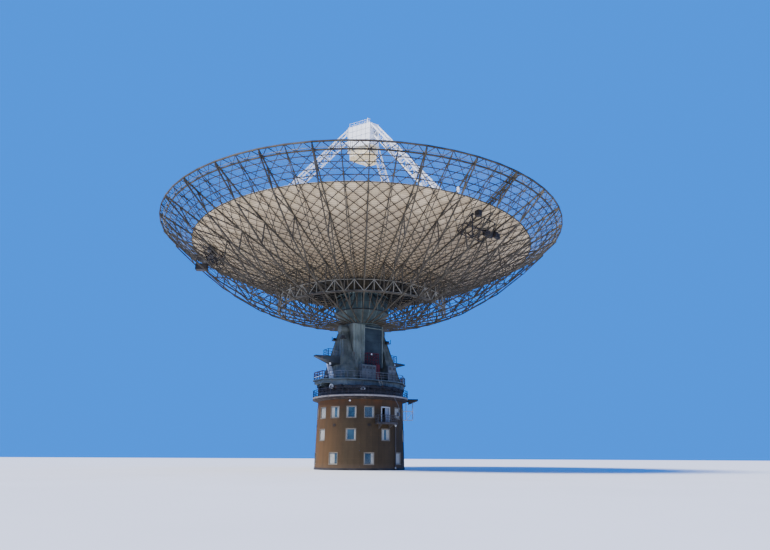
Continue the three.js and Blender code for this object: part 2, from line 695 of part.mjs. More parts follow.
// Equipment cabinets and the red stair enclosure at the front of the deck
const onDeck = (u, v, height) => boxBetween(
  [u[0] * M, -v[1] * M, DECK_TOP + GAP],
  [u[1] * M, -v[0] * M, DECK_TOP + height * M],
);
addPiece('cabinet_left', onDeck([-2.3, 0.1], [3.1, 4.1], 2.2), cabinetPaint);
addPiece('cabinet_right', onDeck([2.2, 3.6], [3.85, 4.35], 2.3), cabinetPaint);

// The enclosure's door box stands at the deck's edge, and its railed landing stands behind it on two legs
const STAIR_BOX = { u: [0.15, 0.85], v: [3.2, 4.0], height: 2.4 };
const LANDING_PLATE = { u: [-0.95, 1.3], v: [2.4, 3.3], low: 2.21 * M, high: 2.32 * M };
const LANDING_CORNERS = [[-0.85, 3.15], [1.2, 3.15], [1.2, 2.5], [-0.85, 2.5]];
const LANDING_RAIL_HEIGHT = 1.85 * M;

function stairEnclosure() {
  const floor = DECK_TOP + LANDING_PLATE.high;
  const [left, right] = LANDING_PLATE.u;
  const [back, front] = LANDING_PLATE.v;
  const plate = boxBetween(
    [left * M, -front * M, DECK_TOP + LANDING_PLATE.low],
    [right * M, -back * M, floor],
  );
  const posts = LANDING_CORNERS.map(([u, v]) => uv(u * M, v * M, floor));
  const parts = [
    onDeck(STAIR_BOX.u, STAIR_BOX.v, STAIR_BOX.height),
    plate,
    ...railing(posts, true, LANDING_RAIL_HEIGHT, -RAIL),
    bar(posts[0], posts[1].clone().setZ(floor + LANDING_RAIL_HEIGHT), RAIL),
  ];
  for (const post of posts.slice(2)) parts.push(bar(post.clone().setZ(DECK_TOP + GAP), post, RAIL));
  return fuse(parts);
}

addPiece('stair_enclosure', stairEnclosure(), stairPaint);

// Tipping column with its axle stubs, and the counterweight below it
const AXLE_END = SIDE_TOP_OUTER + 0.15 * M;
const COUNTERWEIGHT_INSET = 0.1 * M;

function tippingColumn() {
  const column = boxBetween(
    [-COLUMN_HALF_WIDTH, -COLUMN_HALF_DEPTH, COLUMN_BOTTOM],
    [COLUMN_HALF_WIDTH, COLUMN_HALF_DEPTH, HUB_BASE - GAP],
  );
  const axle = axleCylinder(AXLE_RADIUS, -AXLE_END, AXLE_END, AXLE_SIDES);
  const collar = axleCylinder(COLLAR_RADIUS, -SIDE_INNER + THRUST_GAP, SIDE_INNER - THRUST_GAP, AXLE_SIDES);
  return fuse([column, axle, collar]);
}

addPiece('tipping_column', tippingColumn(), turretPaint);
addPiece('counterweight', boxBetween(
  [-COLUMN_HALF_WIDTH + COUNTERWEIGHT_INSET, -COLUMN_HALF_DEPTH + COUNTERWEIGHT_INSET, COUNTERWEIGHT_BOTTOM],
  [COLUMN_HALF_WIDTH - COUNTERWEIGHT_INSET, COLUMN_HALF_DEPTH - COUNTERWEIGHT_INSET, COLUMN_BOTTOM - GAP],
), darkSteel);

// Hub drum, with one flat for every main rib
function hubDrum() {
  const profile = [[0, HUB_BASE], [HUB_BASE_RADIUS, HUB_BASE], [HUB_TOP_RADIUS, HUB_TOP], [0, HUB_TOP]]
    .map(([r, z]) => new THREE.Vector2(r, z));
  const drum = new THREE.LatheGeometry(profile, RIB_COUNT);
  drum.rotateX(Math.PI / 2);
  return fromSolid(toSolid(drum));
}

addPiece('hub', hubDrum(), turretPaint);

// Reflector: solid centre, perforated panels, then the wire-mesh border
function bowlProfile(stations) {
  const top = stations.map((r) => [r, dishSurface(r)]);
  const under = stations.map((r) => [r, dishSurface(r) - PANEL_THICKNESS]).reverse();
  return [...top, ...under];
}

function reflectorCentre() {
  const edge = SOLID_CENTRE_RADIUS - GAP;
  const profile = bowlProfile([0, SOLID_CENTRE_RADIUS / 2, edge])
    .map(([r, z]) => new THREE.Vector2(r, z)).reverse();
  const disc = new THREE.LatheGeometry(profile, RIB_COUNT);
  disc.rotateX(Math.PI / 2);
  return fromSolid(toSolid(disc));
}

addPiece('reflector_centre', reflectorCentre(), panelMetal);

// Cutters for the openings of the wire-mesh border, whose radial bars lie over the main ribs
const MESH_ROWS = 3;
const MESH_BAR = 0.28 * M;

function meshCutters(start, end) {
  const pitch = 360 / RIB_COUNT;
  const bars = [start];
  const firstRib = pitch * (Math.floor(start / pitch) + 0.5);
  for (let azimuth = firstRib; azimuth < end; azimuth += pitch) bars.push(azimuth);
  bars.push(end);
  const halfBar = THREE.MathUtils.radToDeg(MESH_BAR / (2 * MESH_OUTER_RADIUS));
  const depth = (MESH_OUTER_RADIUS - PANEL_OUTER_RADIUS - MESH_BAR) / MESH_ROWS;
  const cutters = [];
  for (let row = 0; row < MESH_ROWS; row += 1) {
    const inner = PANEL_OUTER_RADIUS + MESH_BAR + depth * row;
    const outer = inner + depth - MESH_BAR;
    const profile = [
      [inner, dishSurface(inner) - 2 * PANEL_THICKNESS],
      [outer, dishSurface(outer) - 2 * PANEL_THICKNESS],
      [outer, dishSurface(outer) + PANEL_THICKNESS],
      [inner, dishSurface(inner) + PANEL_THICKNESS],
    ];
    for (let i = 1; i < bars.length; i += 1) {
      cutters.push(arcSolid(profile, bars[i - 1] + halfBar, bars[i] - halfBar, 2));
    }
  }
  return cutters;
}

for (let sector = 0; sector < DISH_SECTORS; sector += 1) {
  const span = 360 / DISH_SECTORS;
  const seam = THREE.MathUtils.radToDeg(GAP / (2 * SOLID_CENTRE_RADIUS));
  const start = span * sector + seam;
  const end = span * (sector + 1) - seam;
  const steps = span / PANEL_STEP_DEG;
  const panels = arcSolid(bowlProfile(PANEL_STATIONS), start, end, steps);
  addPiece(`reflector_panels_${sector + 1}`, panels, panelMetal);
  const border = arcSolid(bowlProfile([PANEL_OUTER_RADIUS + GAP, MESH_OUTER_RADIUS]), start, end, steps);
  addPiece(`reflector_mesh_${sector + 1}`, cut(border, meshCutters(start, end)), steelwork);
}

// One main rib: a flat truss cut from a plate, with its foot against the hub
const ribTop = (r) => dishSurface(r) - PANEL_THICKNESS - GAP;
const hubFace = (z) => (HUB_BASE_RADIUS + ((HUB_TOP_RADIUS - HUB_BASE_RADIUS) * (z - HUB_BASE))
  / (HUB_TOP - HUB_BASE)) * Math.cos(Math.PI / RIB_COUNT) + 2 * GAP;

function insetPolygon(points, insets) {
  const n = points.length;
  const lines = points.map((point, i) => {
    const next = points[(i + 1) % n];
    const direction = next.clone().sub(point).normalize();
    const inward = new THREE.Vector2(-direction.y, direction.x);
    return { start: point.clone().addScaledVector(inward, insets[i]), direction };
  });
  return lines.map((line, i) => {
    const before = lines[(i + n - 1) % n];
    const cross = before.direction.cross(line.direction);
    const offset = line.start.clone().sub(before.start);
    const t = offset.cross(line.direction) / cross;
    return before.start.clone().addScaledVector(before.direction, t);
  });
}

function ribTruss(azimuth) {
  const top = (r) => new THREE.Vector2(r * M, ribTop(r * M));
  const [b8, b13, b18, b23, b28] = RIB_BOTTOM_CHORD.map(([r, z]) => new THREE.Vector2(r * M, z * M));
  const footHeight = HUB_BASE + RIB_FOOT_INSET;
  const foot = new THREE.Vector2(hubFace(footHeight), footHeight);
  const headHeight = HUB_TOP - RIB_FOOT_INSET;
  const head = new THREE.Vector2(hubFace(headHeight), headHeight);
  const tip = new THREE.Vector2(RIM_TUBE_RADIUS, ribTop(RIM_TUBE_RADIUS) - RIB_TIP_DROP);
  const tipLow = new THREE.Vector2(RIM_TUBE_RADIUS, ribTop(RIM_TUBE_RADIUS) - RIB_TIP_DEPTH);
  const [t8, t13, t18, t22, t27, t30] = [8.5, 13.25, 18, 22.75, 27, 30].map(top);
  const outline = new THREE.Shape([foot, b8, b13, b18, b23, b28, tipLow, tip, t27, t22, t18, t13, t8, head]);
  const c = RIB_CHORD;
  const h = RIB_BRACE / 2;
  const bays = [
    [[foot, b8, head], [c, h, c]],
    [[head, b8, t13, t8], [h, h, c, c]],
    [[b8, b13, t13], [c, h, h]],
    [[b13, b18, t13], [c, h, h]],
    [[t13, b18, t22, t18], [h, h, c, c]],
    [[b18, b23, t22], [c, h, h]],
    [[b23, b28, t22], [c, h, h]],
    [[t22, b28, t30, t27], [h, h, c, c]],
    [[b28, tipLow, tip, t30], [c, RIB_TIP_WEB, c, h]],
  ];
  for (const [corners, insets] of bays) {
    outline.holes.push(new THREE.Path(insetPolygon(corners, insets)));
  }
  const plate = new THREE.ExtrudeGeometry(outline, { depth: RIB_THICKNESS, bevelEnabled: false });
  plate.translate(0, 0, -RIB_THICKNESS / 2);
  const radial = onAzimuth(1, azimuth, 0);
  const up = new THREE.Vector3(0, 0, 1);
  plate.applyMatrix4(new THREE.Matrix4().makeBasis(radial, up, radial.clone().cross(up)));
  return plate;
}

// A sector of the back structure: main ribs tied together by the ring girder and the rim tube
function ribSector(number) {
  const pitch = 360 / RIB_COUNT;
  const span = pitch * RIBS_PER_SECTOR;
  const seam = THREE.MathUtils.radToDeg(GAP / (2 * RING_GIRDER_RADIUS));
  const start = span * number + seam;
  const end = span * (number + 1) - seam;
  const parts = [];
  for (let i = 0; i < RIBS_PER_SECTOR; i += 1) parts.push(ribTruss(span * number + pitch * (i + 0.5)));
  const girderHeight = RIB_BOTTOM_CHORD[1][1] * M + RING_WIDTH;
  const ringGirder = ringProfile(RING_GIRDER_RADIUS, girderHeight, RING_WIDTH);
  parts.push(arcSolid(ringGirder, start, end, RIBS_PER_SECTOR));
  const rimHeight = dishSurface(RIM_TUBE_RADIUS) - RIM_TUBE_DROP;
  const rimTube = ringProfile(RIM_TUBE_RADIUS, rimHeight, RIM_TUBE_WIDTH);
  parts.push(arcSolid(rimTube, start, end, 2 * RIBS_PER_SECTOR));
  return fuse(parts);
}

for (let number = 0; number < RIB_COUNT / RIBS_PER_SECTOR; number += 1) {
  addPiece(`rib_sector_${number + 1}`, ribSector(number), steelwork);
}

// Tripod legs: three chords, battens and a foot pad on the reflector
const cabinShortApothem = (CABIN_LONG_SIDE + 2 * CABIN_SHORT_SIDE) / Math.sqrt(3)
  - (CABIN_SHORT_SIDE * Math.sqrt(3)) / 2;

const LEG_LENGTH = 33.6 * M;
const LEG_HEAD_OVERRUN = 1.5 * M;
const LEG_FIRST_BAY = 0.6 * M;
const LEG_LAST_BAY = 31.2 * M;
const PAD_INNER = 22.8 * M;
const PAD_OUTER = 25.4 * M;
const PAD_HEIGHT = 0.35 * M;
const PAD_HALF_WIDTH = 0.85 * M;
const CUTTER_REACH = 3 * M;
const CUTTER_DEPTH = 4 * M;

// The pad stands on the flat panel between two stations; its underside follows that panel's slope
const padSlope = (PANEL_STATIONS[4] + PANEL_STATIONS[3]) / (4 * DISH_FOCAL_LENGTH);
const padSurface = (r) => dishSurface(PANEL_STATIONS[3]) + padSlope * (r - PANEL_STATIONS[3]);
const padLift = PAD_HALF_WIDTH * Math.tan(rad(PANEL_STEP_DEG / 2)) * padSlope + 2 * GAP;

// A block between two offsets above the panel, from one radius to another
function slopingBlock(halfWidth, inner, outer, low, high) {
  const corners = (offset) => [
    [-halfWidth, -outer, padSurface(outer) + offset], [halfWidth, -outer, padSurface(outer) + offset],
    [halfWidth, -inner, padSurface(inner) + offset], [-halfWidth, -inner, padSurface(inner) + offset],
  ];
  return loft(corners(low), corners(high));
}

function tripodLeg(azimuth) {
  const headRadius = cabinShortApothem + GAP;
  const direction = new THREE.Vector3(0, -1, -LEG_SLOPE).normalize();
  const inward = new THREE.Vector3(0, LEG_SLOPE, -1).normalize();
  const outerTop = new THREE.Vector3(0, -headRadius, LEG_TOP);
  const chordAt = (side, deep, distance) => outerTop.clone()
    .add(new THREE.Vector3((side * LEG_WIDTH) / 2, 0, 0))
    .addScaledVector(inward, deep ? LEG_DEPTH : 0)
    .addScaledVector(direction, distance);
  const chords = [[-1, false], [1, false], [0, true]];
  const parts = chords.map(([side, deep]) => (
    bar(chordAt(side, deep, -LEG_HEAD_OVERRUN), chordAt(side, deep, LEG_LENGTH), LEG_CHORD)));
  for (let i = 0; i <= LEG_BAYS; i += 1) {
    const distance = LEG_FIRST_BAY + ((LEG_LAST_BAY - LEG_FIRST_BAY) * i) / LEG_BAYS;
    const nodes = chords.map(([side, deep]) => chordAt(side, deep, distance));
    for (let j = 0; j < 3; j += 1) parts.push(bar(nodes[j], nodes[(j + 1) % 3], LEG_BAR));
  }
  parts.push(slopingBlock(PAD_HALF_WIDTH, PAD_INNER, PAD_OUTER, padLift, PAD_HEIGHT));
  const nearest = PAD_INNER - CUTTER_REACH;
  const furthest = PAD_OUTER + CUTTER_REACH;
  const below = slopingBlock(CUTTER_REACH, nearest, furthest, -CUTTER_DEPTH, padLift);
  const insideCabin = boxBetween(
    [-CUTTER_REACH, -headRadius, CABIN_FLOOR - CUTTER_REACH],
    [CUTTER_REACH, CUTTER_REACH, MAST_TOP],
  );
  const leg = cut(fuse(parts), [below, insideCabin]);
  leg.rotateZ(rad(azimuth));
  return leg;
}

const LEG_NAMES = ['front', 'right', 'left'];
LEG_AZIMUTHS.forEach((azimuth, i) => addPiece(`tripod_leg_${LEG_NAMES[i]}`, tripodLeg(azimuth), whitePaint));

// Focus cabin in two storeys, the receiver drum below it and the mast on its roof
function hexagonPrism(scale, low, high) {
  const corners = [];
  for (const azimuth of LEG_AZIMUTHS) {
    for (const side of [-1, 1]) {
      const corner = new THREE.Vector3((side * CABIN_SHORT_SIDE) / 2, -cabinShortApothem, 0);
      corner.applyAxisAngle(new THREE.Vector3(0, 0, 1), rad(azimuth)).multiplyScalar(scale);
      corners.push(new THREE.Vector2(corner.x, corner.y));
    }
  }
  const settings = { depth: high - low, bevelEnabled: false };
  const prism = new THREE.ExtrudeGeometry(new THREE.Shape(corners), settings);
  prism.translate(0, 0, low);
  return prism;
}

addPiece('focus_cabin_upper', hexagonPrism(1, CABIN_FLOOR + GAP, CABIN_TOP), whitePaint);
const lowerCabin = hexagonPrism(LOWER_CABIN_SCALE, LOWER_CABIN_FLOOR + GAP, CABIN_FLOOR);
addPiece('focus_cabin_lower', lowerCabin, creamPaint);

const FEED_TOP_RADIUS = 1.9 * M;
const FEED_BOTTOM_RADIUS = 1.2 * M;

function feedDrum() {
  const profile = [
    [0, FEED_BOTTOM], [FEED_BOTTOM_RADIUS, FEED_BOTTOM],
    [FEED_TOP_RADIUS, LOWER_CABIN_FLOOR], [0, LOWER_CABIN_FLOOR],
  ].map(([r, z]) => new THREE.Vector2(r, z));
  const drum = new THREE.LatheGeometry(profile, 16);
  drum.rotateX(Math.PI / 2);
  return fromSolid(toSolid(drum));
}

addPiece('feed_drum', feedDrum(), paleConcrete);

const MAST_BASE_HALF = 0.4 * M;
const MAST_BASE_TOP = CABIN_TOP + 0.5 * M;
const MAST_POLE_LOW = CABIN_TOP + 0.4 * M;
const MAST_POLE_RADII = [0.04 * M, 0.09 * M];
const MAST_PLACE = [0.6 * M, 0.2 * M];

function roofMast() {
  const base = boxBetween(
    [-MAST_BASE_HALF, -MAST_BASE_HALF, CABIN_TOP + GAP],
    [MAST_BASE_HALF, MAST_BASE_HALF, MAST_BASE_TOP],
  );
  const pole = new THREE.CylinderGeometry(...MAST_POLE_RADII, MAST_TOP - MAST_POLE_LOW, 8);
  pole.rotateX(Math.PI / 2);
  pole.translate(0, 0, (MAST_TOP + MAST_POLE_LOW) / 2);
  const mast = fuse([base, pole]);
  mast.translate(...MAST_PLACE, 0);
  return mast;
}

addPiece('roof_mast', roofMast(), whitePaint);

export default telescope;
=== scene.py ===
import json
import math
import random

import bpy
from mathutils import Matrix, Vector


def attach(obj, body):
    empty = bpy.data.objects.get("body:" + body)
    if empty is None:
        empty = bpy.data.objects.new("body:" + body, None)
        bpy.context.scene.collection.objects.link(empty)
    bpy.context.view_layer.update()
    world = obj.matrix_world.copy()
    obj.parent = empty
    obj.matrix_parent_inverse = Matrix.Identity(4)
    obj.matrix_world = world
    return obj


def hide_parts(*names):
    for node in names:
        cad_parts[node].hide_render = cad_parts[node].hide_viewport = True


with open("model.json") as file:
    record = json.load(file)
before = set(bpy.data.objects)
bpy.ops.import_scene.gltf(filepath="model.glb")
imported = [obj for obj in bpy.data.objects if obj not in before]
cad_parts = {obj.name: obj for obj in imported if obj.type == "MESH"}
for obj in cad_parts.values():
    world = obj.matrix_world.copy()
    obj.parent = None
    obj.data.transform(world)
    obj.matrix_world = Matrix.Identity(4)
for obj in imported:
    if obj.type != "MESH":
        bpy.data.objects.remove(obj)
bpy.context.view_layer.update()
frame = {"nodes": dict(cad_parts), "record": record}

SCALE = 0.5
SEED = 11
FOCAL_FACTOR = 105.0
VERTEX_HEIGHT = 26.45


def at(x, y, z):
    return Vector((x, y, z))


UP = at(0, 0, 1)
ACROSS = at(1, 0, 0)


def on_azimuth(radius, azimuth, height):
    turn = math.radians(azimuth)
    return at(radius * math.sin(turn), -radius * math.cos(turn), height)


def sideways(shift, azimuth):
    # A step along the tangent at an azimuth
    return on_azimuth(shift, azimuth + 90, 0)


def turned(azimuth):
    return Matrix.Rotation(math.radians(azimuth), 3, "Z")


def azimuths(count, first=0.0):
    return [first + 360 * index / count for index in range(count)]


def surface(radius):
    return VERTEX_HEIGHT + radius * radius / FOCAL_FACTOR


def under_dish(radius, azimuth, drop):
    return on_azimuth(radius, azimuth, surface(radius) - drop)


def ring_path(radius, height, segments, first=0.0):
    return [on_azimuth(radius, azimuth, height) for azimuth in azimuths(segments, first)]


def along(points):
    # The ends of each stretch of an open path
    return zip(points, points[1:])


def around(points):
    # The ends of each side of a closed outline
    return zip(points, points[1:] + points[:1])


def spaced(start, end, count, offset=0.0):
    # Places at equal steps from start towards end
    return [start + (end - start) * (number + offset) / count for number in range(count)]


def at_pitch(start, end, pitch, offset=0.0):
    return spaced(start, end, max(1, round((end - start).length / pitch)), offset)


# Camera at the photograph's place, for an image of 770 by 550
IMAGE_WIDTH = 770
FOCAL_PIXELS = 565.0
SENSOR_WIDTH = 36.0
CAMERA_DISTANCE = 88.234
EYE_HEIGHT = 1.6
CAMERA_AZIMUTH = 31.0
CAMERA_PITCH = 17.981
CAMERA_YAW = 2.371
CAMERA_ROLL = 0.271
VIEW_END = 1000


def add_object(name, data):
    made = bpy.data.objects.new(name, data)
    bpy.context.scene.collection.objects.link(made)
    return made


def make_camera():
    yaw = math.radians(CAMERA_YAW)
    pitch = math.radians(CAMERA_PITCH)
    forward = at(math.sin(yaw) * math.cos(pitch), math.cos(yaw) * math.cos(pitch), math.sin(pitch))
    level_right = at(math.cos(yaw), -math.sin(yaw), 0)
    level_up = level_right.cross(forward)
    roll = math.radians(CAMERA_ROLL)
    right = level_right * math.cos(roll) + level_up * math.sin(roll)
    up = level_up * math.cos(roll) - level_right * math.sin(roll)
    axes = Matrix((right, up, -forward)).transposed().to_4x4()
    to_part = Matrix.Rotation(math.radians(-CAMERA_AZIMUTH), 4, "Z")
    place = Matrix.Translation(at(0, -CAMERA_DISTANCE * SCALE, EYE_HEIGHT * SCALE))
    data = bpy.data.cameras.new("photo_camera")
    data.sensor_fit = "HORIZONTAL"
    data.sensor_width = SENSOR_WIDTH
    data.lens = FOCAL_PIXELS * SENSOR_WIDTH / IMAGE_WIDTH
    data.clip_end = VIEW_END
    camera = add_object("photo_camera", data)
    camera.matrix_world = to_part @ place @ axes
    bpy.context.scene.camera = camera


make_camera()


# Material nodes
class Nodes:
    def __init__(self, name):
        self.material = bpy.data.materials.new(name)
        self.material.use_nodes = True
        self.tree = self.material.node_tree
        self.shader = self.tree.nodes["Principled BSDF"]
        self.place = self.add("ShaderNodeTexCoord", {})["Object"]

    def add(self, kind, values, **settings):
        # Adds a node with these settings, fills its sockets by name or number and gives its outputs
        node = self.tree.nodes.new(kind)
        for key, value in settings.items():
            setattr(node, key, value)
        for key, value in values.items():
            self.fill(node.inputs[key], value)
        return node.outputs

    def fill(self, socket, value):
        # A number or a tuple is set on the socket, anything else is linked to it
        if isinstance(value, (int, float)):
            socket.default_value = value
        elif isinstance(value, tuple):
            socket.default_value = value if len(socket.default_value) == len(value) else (*value, 1.0)
        else:
            self.tree.links.new(value, socket)

    def noise(self, scale, detail=4.0, stretch=(1, 1, 1), roughness=0.55):
        place = self.add("ShaderNodeMapping", {"Vector": self.place, "Scale": stretch})["Vector"]
        values = {"Vector": place, "Scale": scale, "Detail": detail, "Roughness": roughness}
        return self.add("ShaderNodeTexNoise", values)["Fac"]

    def ramp(self, factor, low, high, low_value=0.0, high_value=1.0):
        values = dict(enumerate((factor, low, high, low_value, high_value)))
        return self.add("ShaderNodeMapRange", values)["Result"]

    def math(self, operation, *values):
        return self.add("ShaderNodeMath", dict(enumerate(values)), operation=operation)["Value"]

    def mix(self, factor, first, second):
        return self.add("ShaderNodeMix", {0: factor, 6: first, 7: second}, data_type="RGBA")[2]

    def tint(self, colour, factor, strength, over):
        return self.mix(self.math("MULTIPLY", factor, strength), colour, over)

    def axes(self):
        return self.add("ShaderNodeSeparateXYZ", {0: self.place})

    def polar(self):
        # Distance from the part's upright axis, and the angle about it
        x, y = self.axes()[:2]
        squares = self.math("ADD", self.math("MULTIPLY", x, x), self.math("MULTIPLY", y, y))
        return self.math("SQRT", squares), self.math("ARCTAN2", y, x)

    def facing_down(self):
        # 1 on faces that look down from the part, 0 on the others
        normal = self.add("ShaderNodeTexCoord", {})["Normal"]
        return self.math("LESS_THAN", self.add("ShaderNodeSeparateXYZ", {0: normal})[2], -0.05)

    def lines(self, value, pitch, width):
        # 1 on thin lines that repeat at the pitch, 0 between them
        part = self.math("FRACT", self.math("DIVIDE", value, pitch))
        return self.math("LESS_THAN", part, width / pitch)

    def rusted(self, colour, amount):
        spots = self.noise(5.5, 6.0, (1, 1, 0.45), 0.7)
        return self.mix(self.ramp(spots, 0.60, 0.70, 0.0, amount), colour, RUST)

    def shade(self, **values):
        # Fills sockets of the shader, with spaces in their names where the keys have underscores
        for key, value in values.items():
            self.fill(self.shader.inputs[key.replace("_", " ")], value)

    def finish(self, colour, grain, roughness, strength, distance, specular=0.5, height=None):
        # Colour, roughness and bump of a rough surface, the bump from the grain unless a height is given
        values = {"Strength": strength, "Distance": distance, "Height": height or grain}
        self.shade(Base_Color=colour, Roughness=self.ramp(grain, 0.3, 0.7, *roughness),
                   Normal=self.add("ShaderNodeBump", values)["Normal"], Specular_IOR_Level=specular)
        return self.material


RUST = (0.20, 0.075, 0.03)
PAINT_PATCHES = 1.3
PAINT_GRAIN = 14.0


def painted(name, light, dark, rust=0.0, streaks=0.35, roughness=(0.4, 0.6), metallic=0.0):
    # Weathered paint or plate: patches, run-off streaks, rust spots and a fine grain
    nodes = Nodes(name)
    patches = nodes.noise(PAINT_PATCHES, 5.0)
    colour = nodes.mix(nodes.ramp(patches, 0.35, 0.68), dark, light)
    runs = nodes.noise(3.2, 4.0, (1, 1, 0.14))
    stain = tuple(0.5 * value for value in dark)
    colour = nodes.mix(nodes.ramp(runs, 0.52, 0.74, 0.0, streaks), colour, stain)
    if rust > 0:
        colour = nodes.rusted(colour, rust)
    fine = nodes.noise(PAINT_GRAIN, 6.0)
    nodes.shade(Metallic=metallic)
    return nodes.finish(colour, fine, roughness, 0.25, 0.004, 0.25)


def tower_concrete():
    # Brown render with painted sunlight in orange on one side, warmer under the gallery, with run-off and
    # casting lifts
    nodes = Nodes("tower_render")
    x, y, height = nodes.axes()
    patches = nodes.noise(0.9, 6.0, (1, 1, 0.7), 0.6)
    colour = nodes.mix(nodes.ramp(patches, 0.3, 0.7), (0.033, 0.0235, 0.013), (0.052, 0.0365, 0.019))
    # Painted sunlight: orange on the side of the tower where the sun falls
    painted_sunlit_side = nodes.math("MULTIPLY_ADD", x, 0.94, nodes.math("MULTIPLY", y, -0.34))
    colour = nodes.tint(colour, nodes.ramp(painted_sunlit_side, -1.6, -3.1), 0.5, (0.130, 0.062, 0.021))
    runs = nodes.noise(2.6, 5.0, (1, 1, 0.09))
    colour = nodes.mix(nodes.ramp(runs, 0.5, 0.75, 0.0, 0.55), colour, (0.036, 0.026, 0.015))
    warm = nodes.math("MULTIPLY", nodes.ramp(height, 4.1, 4.75), nodes.ramp(runs, 0.3, 0.62))
    colour = nodes.tint(colour, warm, 0.6, (0.110, 0.043, 0.016))
    colour = nodes.tint(colour, nodes.ramp(height, 0.5, 0.05), 0.45, (0.10, 0.07, 0.05))
    colour = nodes.tint(colour, nodes.lines(height, 0.775, 0.012), 0.25, (0.11, 0.066, 0.028))
    fine = nodes.noise(22.0, 8.0)
    colour = nodes.mix(nodes.ramp(fine, 0.45, 0.75, 0.0, 0.3), colour, (0.092, 0.062, 0.033))
    return nodes.finish(colour, fine, (0.8, 0.95), 0.5, 0.012, 0.15)


PANEL_RING = 0.145
PANEL_BAY = math.radians(3)
PANEL_SEAM = math.radians(0.12)


def panel_metal():
    # Tan perforated sheet in trapezoid panels, each a little different, with dark laps and run-off stains,
    # and painted shade on the underside towards the hub
    nodes = Nodes("panel_metal")
    radius, turn = nodes.polar()
    ring = nodes.math("FLOOR", nodes.math("DIVIDE", radius, 4 * PANEL_RING))
    bay = nodes.math("FLOOR", nodes.math("DIVIDE", turn, PANEL_BAY))
    both = nodes.add("ShaderNodeCombineXYZ", {0: ring, 1: bay})["Vector"]
    chance = nodes.add("ShaderNodeTexWhiteNoise", {"Vector": both}, noise_dimensions="3D")["Value"]
    colour = nodes.mix(chance, (0.525, 0.415, 0.255), (0.705, 0.57, 0.37))
    patches = nodes.noise(0.55, 6.0, (1, 1, 1), 0.62)
    colour = nodes.mix(nodes.ramp(patches, 0.42, 0.72, 0.0, 0.5), colour, (0.30, 0.21, 0.13))
    # Painted shade: the underside darkens towards the hub, with a grey band round it where the back structure
    # shades it
    colour = nodes.tint(colour, nodes.ramp(radius, 12.9, 9.5), 0.36, (0.33, 0.23, 0.13))
    painted_shade_band = nodes.math("MULTIPLY", nodes.ramp(radius, 12.2, 10.4), nodes.ramp(radius, 5.0, 8.0))
    colour = nodes.tint(colour, painted_shade_band, 0.38, (0.17, 0.15, 0.12))
    laps = nodes.lines(radius, PANEL_RING, 0.2 * PANEL_RING)
    marks = nodes.math("MAXIMUM", laps, nodes.lines(turn, PANEL_BAY, PANEL_SEAM))
    colour = nodes.tint(colour, marks, 0.55, (0.13, 0.10, 0.075))
    holes = nodes.noise(60.0, 2.0)
    colour = nodes.mix(nodes.ramp(holes, 0.5, 0.8, 0.0, 0.35), colour, (0.20, 0.16, 0.11))
    # Painted shade: the underside over the hub is made near-black
    painted_hub_shade = nodes.math("MULTIPLY", nodes.ramp(radius, 4.45, 4.2), nodes.facing_down())
    colour = nodes.tint(colour, painted_hub_shade, 0.95, (0.008, 0.009, 0.008))
    coat = nodes.mix(nodes.ramp(patches, 0.35, 0.7), (0.86, 0.78, 0.64), (0.76, 0.68, 0.54))
    coat = nodes.tint(coat, marks, 0.3, (0.30, 0.28, 0.24))
    relief = nodes.math("MAXIMUM", marks, nodes.ramp(holes, 0.4, 0.8))
    colour = nodes.mix(nodes.facing_down(), coat, colour)
    return nodes.finish(colour, holes, (0.5, 0.75), 0.3, 0.004, 0.08, relief)


def back_steel():
    # Weathered grey-brown paint, with painted shade that makes the bays over the hub near-black
    nodes = Nodes("steelwork")
    radius = nodes.polar()[0]
    height = nodes.axes()[2]
    patches = nodes.noise(PAINT_PATCHES, 5.0)
    colour = nodes.mix(nodes.ramp(patches, 0.35, 0.68), (0.038, 0.033, 0.024), (0.090, 0.079, 0.057))
    colour = nodes.rusted(colour, 0.5)
    # Painted shade: near-black on the steelwork in the bays over the hub
    painted_hub_bay_shade = nodes.math("MULTIPLY", nodes.ramp(radius, 4.9, 4.3), nodes.ramp(height, 12.3, 12.6))
    fine = nodes.noise(PAINT_GRAIN, 6.0)
    colour = nodes.tint(colour, painted_hub_bay_shade, 0.9, (0.007, 0.008, 0.008))
    return nodes.finish(colour, fine, (0.45, 0.7), 0.25, 0.004, 0.12)


def gallery_concrete():
    # Pale weathered edge above, with the flare of the slab below it painted near-black red-brown as the shade
    # under the edge
    nodes = Nodes("gallery_concrete")
    height = nodes.axes()[2]
    patches = nodes.ramp(nodes.noise(1.6, 5.0), 0.35, 0.65)
    edge = nodes.mix(patches, (0.15, 0.135, 0.115), (0.29, 0.265, 0.225))
    # Painted shade: the flare is near-black, the shadow line under the slab's edge
    flare_painted_shade = nodes.mix(patches, (0.008, 0.006, 0.005), (0.020, 0.011, 0.007))
    colour = nodes.mix(nodes.ramp(height, 4.985, 4.995), flare_painted_shade, edge)
    runs = nodes.noise(4.5, 5.0, (1, 1, 0.12))
    colour = nodes.mix(nodes.ramp(runs, 0.5, 0.72, 0.0, 0.6), colour, (0.12, 0.085, 0.065))
    return nodes.finish(colour, nodes.noise(20.0, 6.0), (0.8, 0.95), 0.4, 0.006)


def glass():
    nodes = Nodes("window_glass")
    wave = nodes.noise(1.1, 2.0)
    colour = nodes.mix(nodes.ramp(wave, 0.35, 0.65), (0.030, 0.065, 0.085), (0.080, 0.165, 0.200))
    nodes.shade(Base_Color=colour, Roughness=nodes.ramp(wave, 0.3, 0.7, 0.04, 0.12), Transmission_Weight=0.4,
                IOR=1.45)
    return nodes.material


def pale_floor():
    nodes = Nodes("studio_floor")
    fine = nodes.noise(0.15, 3.0)
    colour = nodes.mix(nodes.ramp(fine, 0.3, 0.7), (0.66, 0.66, 0.65), (0.70, 0.70, 0.69))
    nodes.shade(Base_Color=colour, Roughness=0.9)
    return nodes.material


